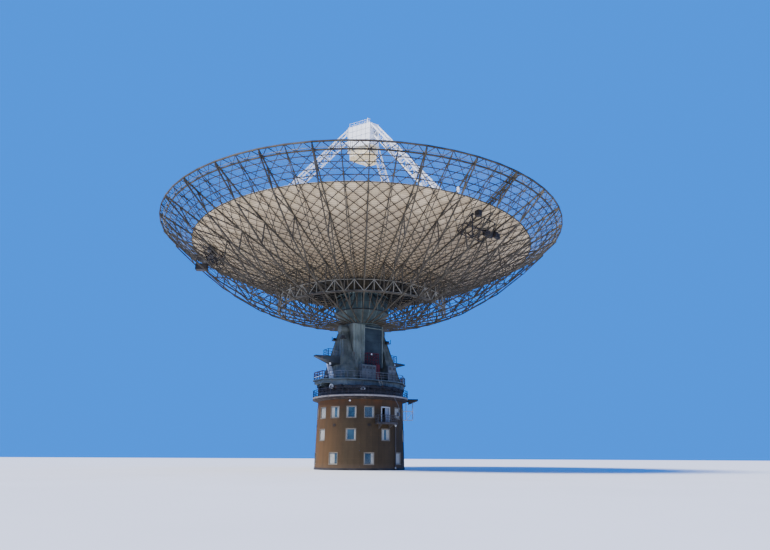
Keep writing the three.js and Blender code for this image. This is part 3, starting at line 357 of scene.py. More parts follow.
# Looks by slot, with the light and the dark colour of each paint, then its rust and streaks
MATERIALS = {
    "tower_concrete": tower_concrete(),
    "floor_concrete": painted("bare_concrete", (0.42, 0.41, 0.39), (0.30, 0.29, 0.27), roughness=(0.8, 0.95)),
    "pale_concrete": gallery_concrete(),
    "window_glass": glass(),
    "cabinet_paint": painted("cabinet_paint", (0.105, 0.118, 0.125), (0.058, 0.067, 0.073), 0.4),
    "dark_steel": painted("dark_steel", (0.036, 0.032, 0.030), (0.015, 0.014, 0.013), 0.7,
                          roughness=(0.5, 0.75), metallic=0.1),
    "rail_paint": painted("rail_paint", (0.115, 0.122, 0.132), (0.062, 0.067, 0.075), 0.3),
    "girder_paint": painted("girder_paint", (0.088, 0.112, 0.118), (0.044, 0.058, 0.064), 0.35),
    "turret_paint": painted("turret_paint", (0.132, 0.146, 0.122), (0.060, 0.070, 0.060), 0.35, 0.6),
    "stair_paint": painted("stair_paint", (0.100, 0.012, 0.016), (0.044, 0.006, 0.009)),
    "panel_metal": panel_metal(),
    "mesh_wire": painted("mesh_wire", (0.30, 0.30, 0.28), (0.18, 0.18, 0.17), 0.2, metallic=0.4),
    "steelwork": back_steel(),
    "white_paint": painted("white_paint", (0.96, 0.96, 0.93), (0.84, 0.84, 0.81), 0.12, 0.3, (0.35, 0.55)),
    "cream_paint": painted("cream_paint", (0.97, 0.80, 0.46), (0.88, 0.70, 0.38), 0.2, 0.4),
    "pale_paint": painted("pale_paint", (0.42, 0.43, 0.41), (0.28, 0.29, 0.28), 0.2),
}
PALE_STEEL = painted("pale_steelwork", (0.27, 0.25, 0.19), (0.15, 0.14, 0.105), 0.3)
BLIND = painted("window_blind", (0.35, 0.345, 0.295), (0.25, 0.25, 0.22), 0.0, 0.1, (0.7, 0.85))
COLUMN_PALE = painted("column_plate", (0.185, 0.22, 0.19), (0.100, 0.124, 0.108), 0.3, 0.6)
HUB_PLATE = painted("hub_plate", (0.050, 0.076, 0.074), (0.022, 0.035, 0.035), 0.3, 0.7)
# Painted shade: the near-black plate of the column's recess
RECESS_PAINTED_SHADE = painted("column_recess_painted_shade", (0.028, 0.044, 0.050), (0.014, 0.022, 0.027), roughness=(0.5, 0.7))
WINDOW_TRIM = painted("window_trim", (0.19, 0.168, 0.125), (0.125, 0.11, 0.082), 0.15, 0.4, (0.5, 0.7))
BALCONY_STEEL = painted("balcony_steel", (0.070, 0.060, 0.052), (0.036, 0.031, 0.027), 0.4,
                        roughness=(0.45, 0.65))
# Painted shade: a darker copy of the rail paint for the gallery's railing, which stands in shade
RAIL_PAINTED_SHADE = painted("gallery_rail_painted_shade", (0.038, 0.034, 0.038), (0.020, 0.018, 0.021), 0.3)
DOOR_LEAF = painted("door_leaf", (0.20, 0.23, 0.26), (0.11, 0.13, 0.15), 0.3)
# Painted shade: the wing platforms are made near-black like their shaded undersides
WING_PLATE_PAINTED_SHADE = painted("wing_plate_painted_shade", (0.034, 0.043, 0.047), (0.016, 0.020, 0.023), 0.4, roughness=(0.45, 0.65))
LAMP = painted("lamp_glass", (0.80, 0.80, 0.76), (0.66, 0.66, 0.62), 0.0, 0.05, (0.2, 0.35))

# Solids that don't take their slot's look
OWN_LOOKS = {
    "gallery_railing": RAIL_PAINTED_SHADE,
    "balcony": BALCONY_STEEL,
    "downpipe": BALCONY_STEEL,
    "feed_drum": MATERIALS["cream_paint"],
    "entrance_door": DOOR_LEAF,
    "balcony_door": DOOR_LEAF,
    "wing_platform_left": WING_PLATE_PAINTED_SHADE,
    "wing_platform_right": WING_PLATE_PAINTED_SHADE,
}

for subpart in frame["record"]["subparts"]:
    node = frame["nodes"][subpart["node"]]
    node.data.materials.clear()
    node.data.materials.append(OWN_LOOKS.get(subpart["node"], MATERIALS[subpart["material_slot"]]))

# Corners of a rod stand this much further out than half its width
ROD_CORNER = 1.2
BOX_FACES = [(3, 2, 1, 0), (4, 5, 6, 7), (0, 1, 5, 4), (1, 2, 6, 5), (2, 3, 7, 6), (3, 0, 4, 7)]


# Mesh maker: gathers bars, rods and plates in real metres into one object
class Mesh:
    def __init__(self):
        self.points = []
        self.faces = []

    def add(self, points, faces):
        start = len(self.points)
        self.points.extend(points)
        self.faces.extend([tuple(start + index for index in face) for face in faces])

    def section(self, start, end, width, height):
        # Half the width and half the height of a bar, across its run from start to end
        run = (end - start).normalized()
        side = UP.cross(run)
        if side.length < 1e-3:
            side = ACROSS.copy()
        side.normalize()
        return side * (width / 2), run.cross(side) * (height / 2)

    def bar(self, start, end, width, height=None):
        side, rise = self.section(start, end, width, height or width)
        corners = [-side - rise, side - rise, side + rise, -side + rise]
        points = [start + corner for corner in corners] + [end + corner for corner in corners]
        self.add(points, BOX_FACES)

    def rail(self, start, end, level, width, height=None):
        self.bar(start + UP * level, end + UP * level, width, height)

    def rails(self, start, end, levels, width):
        for level in levels:
            self.rail(start, end, level, width)

    def post(self, foot, low, high, width):
        self.bar(foot + UP * low, foot + UP * high, width)

    def rod(self, path, width, sides=4, closed=False):
        # A bar that follows a path of points, with no caps where it runs round to its start
        count = len(path)
        points = []
        for index, here in enumerate(path):
            before = path[index - 1] if index > 0 or closed else here
            after = path[(index + 1) % count] if index < count - 1 or closed else here
            side, rise = self.section(before, after, width, width)
            for corner in range(sides):
                angle = 2 * math.pi * (corner + 0.5) / sides
                across, up = ROD_CORNER * math.cos(angle), ROD_CORNER * math.sin(angle)
                points.append(here + side * across + rise * up)
        faces = []
        for index in range(count if closed else count - 1):
            here = index * sides
            there = ((index + 1) % count) * sides
            for corner in range(sides):
                following = (corner + 1) % sides
                faces.append((here + corner, here + following, there + following, there + corner))
        if not closed:
            faces.append(tuple(reversed(range(sides))))
            faces.append(tuple(range((count - 1) * sides, count * sides)))
        self.add(points, faces)

    def ring(self, radius, height, segments, width, sides=4, first=0.0):
        self.rod(ring_path(radius, height, segments, first), width, sides, True)

    def box(self, low, high, azimuth=0.0):
        x, y, z = (sorted(pair) for pair in zip(low, high))
        turn = turned(azimuth)
        points = []
        for k in (0, 1):
            for i, j in ((0, 0), (1, 0), (1, 1), (0, 1)):
                points.append(turn @ at(x[i], y[j], z[k]))
        self.add(points, BOX_FACES)

    def radial_box(self, inner, outer, half_width, low, high, azimuth, shift=0.0):
        self.box((shift - half_width, -outer, low), (shift + half_width, -inner, high), azimuth)

    def drum(self, centre, axis, radius, length, sides=12, top=None):
        # A short cylinder or cone about an axis through its centre
        axis = axis.normalized()
        side = axis.orthogonal().normalized()
        other = axis.cross(side)
        top = radius if top is None else top
        points = []
        for distance, size in ((-length / 2, radius), (length / 2, top)):
            for corner in range(sides):
                angle = 2 * math.pi * corner / sides
                spoke = side * math.cos(angle) + other * math.sin(angle)
                points.append(centre + axis * distance + spoke * size)
        faces = [tuple(reversed(range(sides))), tuple(range(sides, 2 * sides))]
        for corner in range(sides):
            following = (corner + 1) % sides
            faces.append((corner, following, sides + following, sides + corner))
        self.add(points, faces)

    def build(self, name, body, slot, look=None):
        data = bpy.data.meshes.new(name)
        data.from_pydata([point * SCALE for point in self.points], [], self.faces)
        data.update()
        data.materials.append(look or MATERIALS[slot])
        made = add_object(name, data)
        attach(made, body)
        return made


# Reflector lattice: two families of spiral purlins that cross on the ribs
RIB_PITCH = 12
RIBS = 360 // RIB_PITCH
MAIN_RIB_FIRST = 6
RIM_RADIUS = 31.86
INNER_RIM_RADIUS = 31.0
PANEL_EDGE = 27.0
SPIRALS = 90
SPIRAL_STEP = 4.0
SPIRAL_SHRINK = 0.0618
SPIRAL_END = 20.5
SPIRAL_WIDTH = 0.085
SPIRAL_DROP = 0.24


def spiral_purlins(name, direction):
    mesh = Mesh()
    steps = int(2 * SPIRAL_END)
    for start in azimuths(SPIRALS, MAIN_RIB_FIRST):
        path = []
        for step in range(steps + 1):
            travel = SPIRAL_END * step / steps
            radius = INNER_RIM_RADIUS * math.exp(-SPIRAL_SHRINK * travel)
            path.append(under_dish(radius, start + direction * SPIRAL_STEP * travel, SPIRAL_DROP))
        mesh.rod(path, SPIRAL_WIDTH)
    mesh.build(name, "dish", "steelwork")


MESH_EDGE = 31.66
MESH_DROP = 0.03
MESH_WIRE = 0.02
MESH_BENDS = (PANEL_EDGE, 28.6, 30.1, MESH_EDGE)
RADIAL_WIRES = 900
RING_WIRES = 21


def mesh_border():
    # The wire mesh between the panels and the rim, with fewer wires than the real one
    mesh = Mesh()
    for azimuth in azimuths(RADIAL_WIRES):
        mesh.rod([under_dish(radius, azimuth, MESH_DROP) for radius in MESH_BENDS], MESH_WIRE, 3)
    for ring in range(RING_WIRES + 1):
        radius = PANEL_EDGE + (MESH_EDGE - PANEL_EDGE) * ring / RING_WIRES
        mesh.ring(radius, surface(radius) - MESH_DROP, 180, MESH_WIRE, 3)
    made = mesh.build("mesh_border", "dish", "mesh_wire")
    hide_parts("reflector_mesh_1", "reflector_mesh_2", "reflector_mesh_3")


PURLIN_RADII = (30.3, 29.5, 28.7, 27.9, PANEL_EDGE)
PURLIN_WIDTH = 0.1
RIM_DROP = 0.14
RIM_RAIL_RADIUS = 31.3
RIM_RAIL_DROP = 0.28


def mesh_purlins():
    mesh = Mesh()
    for radius in PURLIN_RADII:
        mesh.ring(radius, surface(radius) - RIM_DROP, 120, PURLIN_WIDTH)
    mesh.build("mesh_purlins", "dish", "steelwork")


def rim_truss():
    # Second ring inside the rim tube, with the zigzag and short posts between them
    mesh = Mesh()
    inner_height = surface(INNER_RIM_RADIUS) - SPIRAL_DROP
    outer_height = surface(RIM_RADIUS) - RIM_DROP
    mesh.ring(INNER_RIM_RADIUS, inner_height, SPIRALS, 0.2, first=MAIN_RIB_FIRST)
    for azimuth in azimuths(SPIRALS, MAIN_RIB_FIRST):
        node = on_azimuth(INNER_RIM_RADIUS, azimuth, inner_height)
        for side in (-1, 1):
            mesh.bar(node, on_azimuth(RIM_RADIUS, azimuth + side * SPIRAL_STEP / 2, outer_height), 0.08)
        mesh.bar(node, on_azimuth(RIM_RADIUS, azimuth, outer_height), 0.05)
    mesh.build("rim_truss", "dish", "steelwork")
    pale = Mesh()
    pale.ring(RIM_RAIL_RADIUS, surface(RIM_RAIL_RADIUS) - RIM_RAIL_DROP, SPIRALS, 0.06, first=MAIN_RIB_FIRST)
    pale.build("rim_rail", "dish", "steelwork", PALE_STEEL)


# Secondary ribs stand between the main ribs: lighter trusses with their own bottom chord
SECONDARY_BOTTOM = [(8.5, 22.6), (13.3, 25.3), (18.0, 26.6), (23.0, 28.9), (27.6, 32.4), (31.0, 35.1)]
SECONDARY_TOP = [8.5, 10.9, 15.6, 20.5, 25.3, 29.3, RIM_RADIUS]
SECONDARY_DROP = 0.22
TOP_CHORD = 0.1
BOTTOM_CHORD = 0.09
INNER_POST = 0.08
WEB_BAR = 0.065


def secondary_ribs():
    mesh = Mesh()
    for azimuth in azimuths(RIBS):
        bottom = [on_azimuth(radius, azimuth, height) for radius, height in SECONDARY_BOTTOM]
        tops = [under_dish(radius, azimuth, SECONDARY_DROP) for radius in SECONDARY_TOP]
        mesh.rod(tops, TOP_CHORD)
        mesh.rod(bottom, BOTTOM_CHORD)
        mesh.bar(tops[0], bottom[0], INNER_POST)
        for index, node in enumerate(bottom[1:]):
            mesh.bar(node, tops[index + 1], WEB_BAR)
            mesh.bar(node, tops[index + 2], WEB_BAR)
    mesh.build("secondary_ribs", "dish", "steelwork")


V_RADIUS = 13.3
V_LOW = 23.56
V_HIGH = 25.3
V_POST_TOP = 26.0


def hub_rings():
    # The pale ring of V bars round the hub, with its posts and its two hoops
    mesh = Mesh()
    for azimuth in azimuths(RIBS, MAIN_RIB_FIRST):
        node = on_azimuth(V_RADIUS, azimuth, V_LOW)
        for side in (-1, 1):
            mesh.bar(node, on_azimuth(V_RADIUS, azimuth + side * RIB_PITCH / 2, V_HIGH), 0.085)
        mesh.post(on_azimuth(V_RADIUS, azimuth, 0), V_LOW, V_POST_TOP, 0.08)
        mesh.post(on_azimuth(V_RADIUS, azimuth + RIB_PITCH / 2, 0), V_LOW, V_POST_TOP, 0.07)
    mesh.ring(V_RADIUS, V_HIGH, RIBS, 0.07)
    mesh.ring(V_RADIUS, V_LOW + 0.14, RIBS, 0.08, first=MAIN_RIB_FIRST)
    mesh.build("hub_rings", "dish", "steelwork", PALE_STEEL)


# Tripod legs: the lattice between the chords
LEG_AZIMUTHS = (0, 120, 240)
LEG_SLOPE = 1.149
LEG_TOP = 57.0
LEG_DEPTH = 1.4
LEG_WIDTH = 1.3
LEG_START = 1.6
LEG_LENGTH = 32.6
LEG_BAYS = 20
CABIN_LONG_SIDE = 4.3
CABIN_SHORT_SIDE = 1.75
CABIN_APOTHEM = (CABIN_LONG_SIDE + 2 * CABIN_SHORT_SIDE) / math.sqrt(3) - CABIN_SHORT_SIDE * math.sqrt(3) / 2


def leg_lattice():
    mesh = Mesh()
    direction = at(0, -1, -LEG_SLOPE).normalized()
    inward = at(0, -direction.z, direction.y).normalized()
    head = at(0, -CABIN_APOTHEM, LEG_TOP)
    levels = [LEG_START + (LEG_LENGTH - LEG_START) * bay / LEG_BAYS for bay in range(LEG_BAYS + 1)]
    chords = [(-1, False), (1, False), (0, True)]
    for azimuth in LEG_AZIMUTHS:
        turn = turned(azimuth)

        def chord(side, deep, distance):
            place = head + ACROSS * (side * LEG_WIDTH / 2) + direction * distance
            return turn @ (place + inward * (LEG_DEPTH if deep else 0))

        for bay, (low, high) in enumerate(along(levels)):
            for here, there in around(chords):
                if bay % 2:
                    here, there = there, here
                mesh.bar(chord(*here, low), chord(*there, high), 0.07)
                mesh.bar(chord(*here, high), chord(*there, high), 0.06)
    mesh.build("leg_lattice", "dish", "white_paint")


# Tower windows, doors and trim
TOWER_RADIUS = 6.67
TOWER_TAPER = 0.022
WINDOW_WIDTH = 1.48
WINDOW_HEIGHT = 1.65
WINDOW_ROWS = ((0.75, 25.25, 45.0), (3.95, 47.75, 45.0), (7.02, 25.25, 22.5))
WINDOW_FRAME = 0.08
BLIND_SLATS = 14
BALCONY_DOOR = 2.75
ENTRANCE = 160.25
DOOR_WIDTH = 1.5
DOOR_HEIGHT = 2.25
GROUND_FLOOR = 0.15
FIRST_FLOOR = 3.25
SECOND_FLOOR = 6.35


def wall_radius(height):
    return TOWER_RADIUS - TOWER_TAPER * height


def near(first, second):
    # True where two azimuths are less than a degree apart
    return abs((first - second + 540) % 360 - 180) < 1


# Parts of the windows covered by blinds, by row and number, as shares of the width from the left
SEEN_BLINDS = {
    (2, 11): ((0, 1),),
    (2, 12): ((0, 0.4), (0.74, 1)),
    (2, 13): ((0, 0.14), (0.86, 1)),
    (2, 14): ((0.84, 1),),
    (2, 0): ((0, 1),),
    (1, 5): ((0, 1),),
    (1, 6): ((0, 0.1), (0.84, 1)),
    (1, 7): ((0.1, 0.34), (0.62, 1)),
    (1, 0): ((0, 1),),
    (0, 6): ((0, 0.62),),
    (0, 7): ((0, 0.1), (0.72, 1)),
    (0, 0): ((0, 1),),
}
BLIND_CHOICES = (((0, 1),), ((0, 0.5),), ((0.3, 1),), ((0, 0.25), (0.75, 1)), ())


def window_places():
    for row, (sill, first, step) in enumerate(WINDOW_ROWS):
        for number in range(int(360 / step)):
            azimuth = first + step * number
            if sill > SECOND_FLOOR and near(azimuth, BALCONY_DOOR):
                continue
            if sill < FIRST_FLOOR and near(azimuth, ENTRANCE):
                continue
            yield row, number, sill, azimuth


def window_frames():
    mesh = Mesh()
    panes = Mesh()
    blinds = Mesh()
    chance = random.Random(SEED)
    half = WINDOW_WIDTH / 2
    clear = half - WINDOW_FRAME
    for row, number, sill, azimuth in window_places():
        face = wall_radius(sill + WINDOW_HEIGHT / 2)
        outer = face - 0.02
        inner = face - 0.22
        head = sill + WINDOW_HEIGHT
        under_head = head - WINDOW_FRAME
        for side in (-1, 1):
            jamb = side * (half - WINDOW_FRAME / 2)
            mesh.radial_box(inner, outer, WINDOW_FRAME / 2, sill, head, azimuth, jamb)
        mesh.radial_box(inner, outer, half, under_head, head, azimuth)
        mesh.radial_box(inner, outer + 0.05, half, sill - 0.02, sill + 0.07, azimuth)
        mesh.radial_box(face - 0.2, face - 0.13, clear, sill + 0.07, sill + 0.15, azimuth)
        mesh.radial_box(face - 0.2, face - 0.13, clear, under_head - 0.08, under_head, azimuth)
        panes.radial_box(face - 0.18, face - 0.165, clear, sill + 0.1, under_head, azimuth)
        covered = chance.choice(BLIND_CHOICES)
        for start, end in SEEN_BLINDS.get((row, number), covered):
            middle = 2 * clear * ((start + end) / 2 - 0.5)
            for slat in range(BLIND_SLATS):
                level = sill + 0.15 + (WINDOW_HEIGHT - 0.32) * slat / BLIND_SLATS
                blinds.radial_box(face - 0.16, face - 0.15, clear * (end - start), level, level + 0.088,
                                  azimuth, middle)
    mesh.build("window_frames", "tower", "white_paint", WINDOW_TRIM)
    panes.build("window_panes", "tower", "window_glass")
    blinds.build("window_blinds", "tower", "white_paint", BLIND)


def door_frames():
    mesh = Mesh()
    half = DOOR_WIDTH / 2
    for azimuth, low in ((BALCONY_DOOR, SECOND_FLOOR), (ENTRANCE, GROUND_FLOOR)):
        face = wall_radius(low + DOOR_HEIGHT / 2)
        inner, outer = face - 0.28, face + 0.04
        head = low + DOOR_HEIGHT
        for side in (-1, 1):
            mesh.radial_box(inner, outer, 0.06, low, head, azimuth, side * (half - 0.04))
        mesh.radial_box(inner, outer, half + 0.02, head - 0.1, head + 0.04, azimuth)
    mesh.build("door_frames", "tower", "pale_paint")


PLINTH_SEGMENTS = 96
PLINTH_HEIGHT = 0.3
LAMP_RADIUS = 6.85
LAMP_AZIMUTH = -43.6


def tower_trim():
    mesh = Mesh()
    for azimuth in azimuths(PLINTH_SEGMENTS):
        mesh.radial_box(TOWER_RADIUS - 0.03, TOWER_RADIUS + 0.03, 0.225, 0, PLINTH_HEIGHT, azimuth)
    mesh.build("tower_plinth", "tower", "dark_steel")
    lamp = Mesh()
    lamp.drum(on_azimuth(LAMP_RADIUS, LAMP_AZIMUTH, 9.42), UP, 0.16, 0.12, 12, 0.05)
    lamp.drum(on_azimuth(LAMP_RADIUS, LAMP_AZIMUTH, 9.33), UP, 0.12, 0.1, 12, 0.16)
    lamp.build("gallery_lamp", "tower", "white_paint", LAMP)


GALLERY_TOP = 10.2
GALLERY_SIDE = 22.5
GALLERY_POSTS = 48
RAIL_RADIUS = 7.23
RAIL_HEIGHT = 1.05
MID_RAILS = (0.36, 0.7)


def gallery_rails():
    mesh = Mesh()
    for height in MID_RAILS:
        mesh.ring(RAIL_RADIUS, GALLERY_TOP + height, 64, 0.045)
    half_side = GALLERY_SIDE / 2
    for index, azimuth in enumerate(azimuths(GALLERY_POSTS)):
        # Posts between the corners of the railing stand on its straight sides
        off_middle = math.radians((azimuth + half_side) % GALLERY_SIDE - half_side)
        straight = RAIL_RADIUS * math.cos(math.radians(half_side)) / math.cos(off_middle)
        radius = straight if index % 3 else RAIL_RADIUS
        mesh.post(on_azimuth(radius, azimuth, 0), GALLERY_TOP, GALLERY_TOP + RAIL_HEIGHT, 0.045)
    for azimuth in azimuths(2 * GALLERY_POSTS):
        mesh.radial_box(RAIL_RADIUS - 0.03, RAIL_RADIUS, 0.24, GALLERY_TOP, GALLERY_TOP + 0.1, azimuth)
    mesh.build("gallery_rails", "tower", "rail_paint", RAIL_PAINTED_SHADE)


# Dish fittings: seams and bands on the hub, faces of the column, walkway, foot frames and equipment box
HUB_BASE = 21.45
HUB_TOP = 26.2
CLADDING_BASE_RADIUS = 2.78
CLADDING_WAIST = 23.4
CLADDING_WAIST_RADIUS = 4.25
CLADDING_TOP_RADIUS = 4.1
CLADDING_SEAMS = 20
COLUMN_HALF_WIDTH = 2.7
COLUMN_HALF_DEPTH = 2.0
COLUMN_LOW = 16.92
COLUMN_HIGH = 21.38
COLUMN_SPLIT = -0.78
COUNTERWEIGHT_LOW = 14.85
COUNTERWEIGHT_INSET = 0.1


def hub_radius(height):
    if height < CLADDING_WAIST:
        share = (height - HUB_BASE) / (CLADDING_WAIST - HUB_BASE)
        return CLADDING_BASE_RADIUS + (CLADDING_WAIST_RADIUS - CLADDING_BASE_RADIUS) * share
    share = (height - CLADDING_WAIST) / (HUB_TOP - CLADDING_WAIST)
    return CLADDING_WAIST_RADIUS + (CLADDING_TOP_RADIUS - CLADDING_WAIST_RADIUS) * share


def hub_bands():
    # Plate cladding over the hub, which the main ribs pass through, with its seams and bands
    clad = Mesh()
    pale = Mesh()
    dark = Mesh()
    for low, high in ((HUB_BASE, CLADDING_WAIST), (CLADDING_WAIST, HUB_TOP)):
        clad.drum(UP * ((low + high) / 2), UP, hub_radius(low), high - low, 40, hub_radius(high))
    for azimuth in azimuths(CLADDING_SEAMS, 3):
        for low, high in ((HUB_BASE + 0.05, CLADDING_WAIST), (CLADDING_WAIST, HUB_TOP - 0.05)):
            foot = on_azimuth(hub_radius(low), azimuth, low)
            pale.bar(foot, on_azimuth(hub_radius(high), azimuth, high), 0.05)
    for height, width, mesh in ((26.1, 0.1, pale), (24.75, 0.06, dark), (CLADDING_WAIST, 0.14, dark),
                                (21.6, 0.14, dark)):
        mesh.ring(hub_radius(height) + 0.02, height, 60, width)
    clad.build("hub_cladding", "dish", "turret_paint", HUB_PLATE)
    pale.build("hub_seams", "dish", "turret_paint", COLUMN_PALE)
    dark.build("hub_dark_rings", "dish", "dark_steel")


COLUMN_RIBS = 7
COLUMN_RIB_DEPTH = 0.14
RECESS_FRAME_DEPTH = 0.16


def column_faces():
    # The left part of each broad face is ribbed pale plate; the right part is a recess in a pale frame, its
    # plate painted near-black as the shade in the recess
    pale = Mesh()
    dark = Mesh()
    wide, split = COLUMN_HALF_WIDTH, COLUMN_SPLIT
    inset = wide - COUNTERWEIGHT_INSET
    for face in (-1, 1):

        def layer(mesh, first, second, low, high, depth):
            back = COLUMN_HALF_DEPTH - (COUNTERWEIGHT_INSET if low < COLUMN_LOW else 0)
            outer = COLUMN_HALF_DEPTH + depth
            mesh.box((-face * first, face * back, low), (-face * second, face * outer, high))

        layer(pale, -inset, split, COUNTERWEIGHT_LOW, COLUMN_LOW, 0.0)
        layer(dark, split, inset, COUNTERWEIGHT_LOW, COLUMN_LOW, 0.0)
        layer(pale, -wide, split, COLUMN_LOW, COLUMN_HIGH, 0.04)
        for rib in range(COLUMN_RIBS):
            u = -wide + (split + wide) * (rib + 0.5) / COLUMN_RIBS
            layer(pale, u - 0.05, u + 0.05, COUNTERWEIGHT_LOW, COLUMN_HIGH, COLUMN_RIB_DEPTH)
        layer(dark, split, wide, COLUMN_LOW, COLUMN_HIGH, 0.03)
        for u in (split, wide - 0.17):
            layer(pale, u - 0.07, u + 0.07, COUNTERWEIGHT_LOW, COLUMN_HIGH, RECESS_FRAME_DEPTH)
        layer(pale, split, wide, 20.9, 21.02, RECESS_FRAME_DEPTH)
        for height in (17.5, 18.7, 19.9):
            layer(dark, split, wide, height, height + 0.07, 0.08)
    for side in (-1, 1):
        for v in (-1.3, 0.0, 1.3):
            pale.box((side * wide, v - 0.05, COLUMN_LOW), (side * (wide + 0.06), v + 0.05, 19.6))
    pale.build("column_plates", "dish", "turret_paint", COLUMN_PALE)
    dark.build("column_recess_painted_shade", "dish", "turret_paint", RECESS_PAINTED_SHADE)


WALKWAY_AZIMUTH = 5.8
WALKWAY_INNER = 27.2
WALKWAY_OUTER = 31.8
WALKWAY_HALF = 0.6
WALKWAY_DROP = 0.3
WALKWAY_RUNGS = 26


def dish_walkway():
    # Grating along the main rib that passes under the border, with its side rails
    mesh = Mesh()
    reach = WALKWAY_OUTER - WALKWAY_INNER
    for side in (-1, 1):
        shift = sideways(side * WALKWAY_HALF, WALKWAY_AZIMUTH)
        mesh.rod([under_dish(WALKWAY_INNER + reach * step / 4, WALKWAY_AZIMUTH, WALKWAY_DROP) + shift
                  for step in range(5)], 0.12)
    for rung in range(WALKWAY_RUNGS):
        radius = WALKWAY_INNER + reach * rung / (WALKWAY_RUNGS - 1)
        middle = under_dish(radius, WALKWAY_AZIMUTH, WALKWAY_DROP)
        mesh.bar(middle + sideways(-WALKWAY_HALF, WALKWAY_AZIMUTH),
                 middle + sideways(WALKWAY_HALF, WALKWAY_AZIMUTH), 0.09)
    mesh.build("dish_walkway", "dish", "steelwork")


# Radius and drop of the five long bars of a foot frame, and the azimuths of its three cross frames
FOOT_BARS = ((22.2, 0.3), (23.6, 0.3), (25.2, 0.3), (24.4, 1.4), (22.9, 1.4))
FOOT_TURNS = (3.4, 9.0, 14.6)
# Radius, azimuth, half length and half width of the boxes beside each foot frame
FOOT_BOXES = ((23.9, 14.6, 0.3, 0.85), (24.3, 18.6, 0.25, 0.6), (26.0, 4.0, 0.35, 0.3))
FOOT_BAR = 0.09
FOOT_BRACE = 0.14


def leg_foot_frames():
    # Braced frames under the reflector that carry the feet of the three legs
    mesh = Mesh()
    for azimuth in LEG_AZIMUTHS:
        rings = [[under_dish(radius, azimuth + turn, drop) for turn in FOOT_TURNS]
                 for radius, drop in FOOT_BARS]
        for ring in rings:
            for here, there in along(ring):
                mesh.bar(here, there, FOOT_BAR)
        for index in range(len(FOOT_TURNS)):
            loop = [ring[index] for ring in rings]
            for here, there in around(loop):
                mesh.bar(here, there, FOOT_BAR)
            mesh.bar(loop[1], loop[3], FOOT_BAR)
            mesh.bar(loop[1], loop[4], FOOT_BAR)
        mesh.bar(rings[2][0], rings[4][1], FOOT_BRACE)
        mesh.bar(rings[0][2], rings[3][1], FOOT_BRACE)
        for radius, turn, deep, half in FOOT_BOXES:
            level = surface(radius)
            mesh.radial_box(radius - deep, radius + deep, half, level - 1.25, level - 0.5, azimuth + turn)
    mesh.build("leg_foot_frames", "dish", "dark_steel")


WINCH_AZIMUTH = -119.5
WINCH_RADIUS = 26.0
WINCH_LOW = 30.3
WINCH_TOP = 31.3


def equipment_box():
    # Winch housing hung under the back structure on the left, and the small beacon on the border
    mesh = Mesh()
    mesh.radial_box(WINCH_RADIUS - 0.9, WINCH_RADIUS + 0.9, 0.55, WINCH_LOW, WINCH_TOP, WINCH_AZIMUTH)
    for distance in (-0.8, 0.8):
        for shift in (-0.45, 0.45):
            radius = WINCH_RADIUS + distance
            foot = on_azimuth(radius, WINCH_AZIMUTH, WINCH_TOP) + sideways(shift, WINCH_AZIMUTH)
            mesh.post(foot, 0, surface(radius) - 0.2 - WINCH_TOP, 0.1)
    mesh.build("winch_housing", "dish", "dark_steel")
    pale = Mesh()
    beacon = under_dish(27.85, -6.3, 0.35)
    pale.drum(beacon, UP, 0.22, 0.4, 10, 0.15)
    pale.drum(beacon - UP * 0.3, UP, 0.14, 0.3, 10)
    pale.build("border_beacon", "dish", "white_paint")


# Focus cabin: plate seams, edge beading, the round port, the roof rail and the feed horns
CABIN_TOP = 57.2
CABIN_FLOOR = 53.0
LOWER_FLOOR = 51.6
LOWER_SCALE = 0.87
FEED_BOTTOM = 51.1
LONG_WALL = 2.5
SEAM = 0.045
ROOF_RAIL = 0.03


def cabin_corners(scale):
    corners = []
    for azimuth in LEG_AZIMUTHS:
        for side in (-1, 1):
            corners.append(turned(azimuth) @ at(side * CABIN_SHORT_SIDE / 2, -CABIN_APOTHEM, 0) * scale)
    return corners


def cabin_trim():
    trim = Mesh()
    grey = Mesh()
    for scale, low, high, levels in ((1.0, CABIN_FLOOR, CABIN_TOP, 4),
                                     (LOWER_SCALE, LOWER_FLOOR, CABIN_FLOOR, 2)):
        for corner, following in around(cabin_corners(scale)):
            trim.post(corner, low + 0.02, high, 0.1)
            for level in range(levels + 1):
                height = low + (high - low) * level / levels
                if level in (0, levels):
                    trim.rail(corner, following, height, 0.06)
                else:
                    grey.rail(corner, following, height, SEAM)
            posts = 5 if (following - corner).length > LONG_WALL else 2
            for foot in spaced(corner, following, posts)[1:]:
                grey.post(foot, low, high, SEAM)
    first, second = cabin_corners(1.0)[:2]
    port = (first + second) / 2 + at(0.25, -0.06, 55.3)
    for radius, depth, mesh in ((0.62, 0.1, trim), (0.48, 0.16, grey)):
        mesh.drum(port, at(0, 1, 0), radius, depth, 20)
    for azimuth in (90, 200, 320):
        hatch = cabin_corners(0.8)[0].length * 0.5
        trim.drum(on_azimuth(hatch, azimuth, CABIN_TOP + 0.12), UP, 0.3, 0.26, 14)
    trim.build("cabin_trim", "dish", "white_paint")
    grey.build("cabin_seams", "dish", "pale_paint")


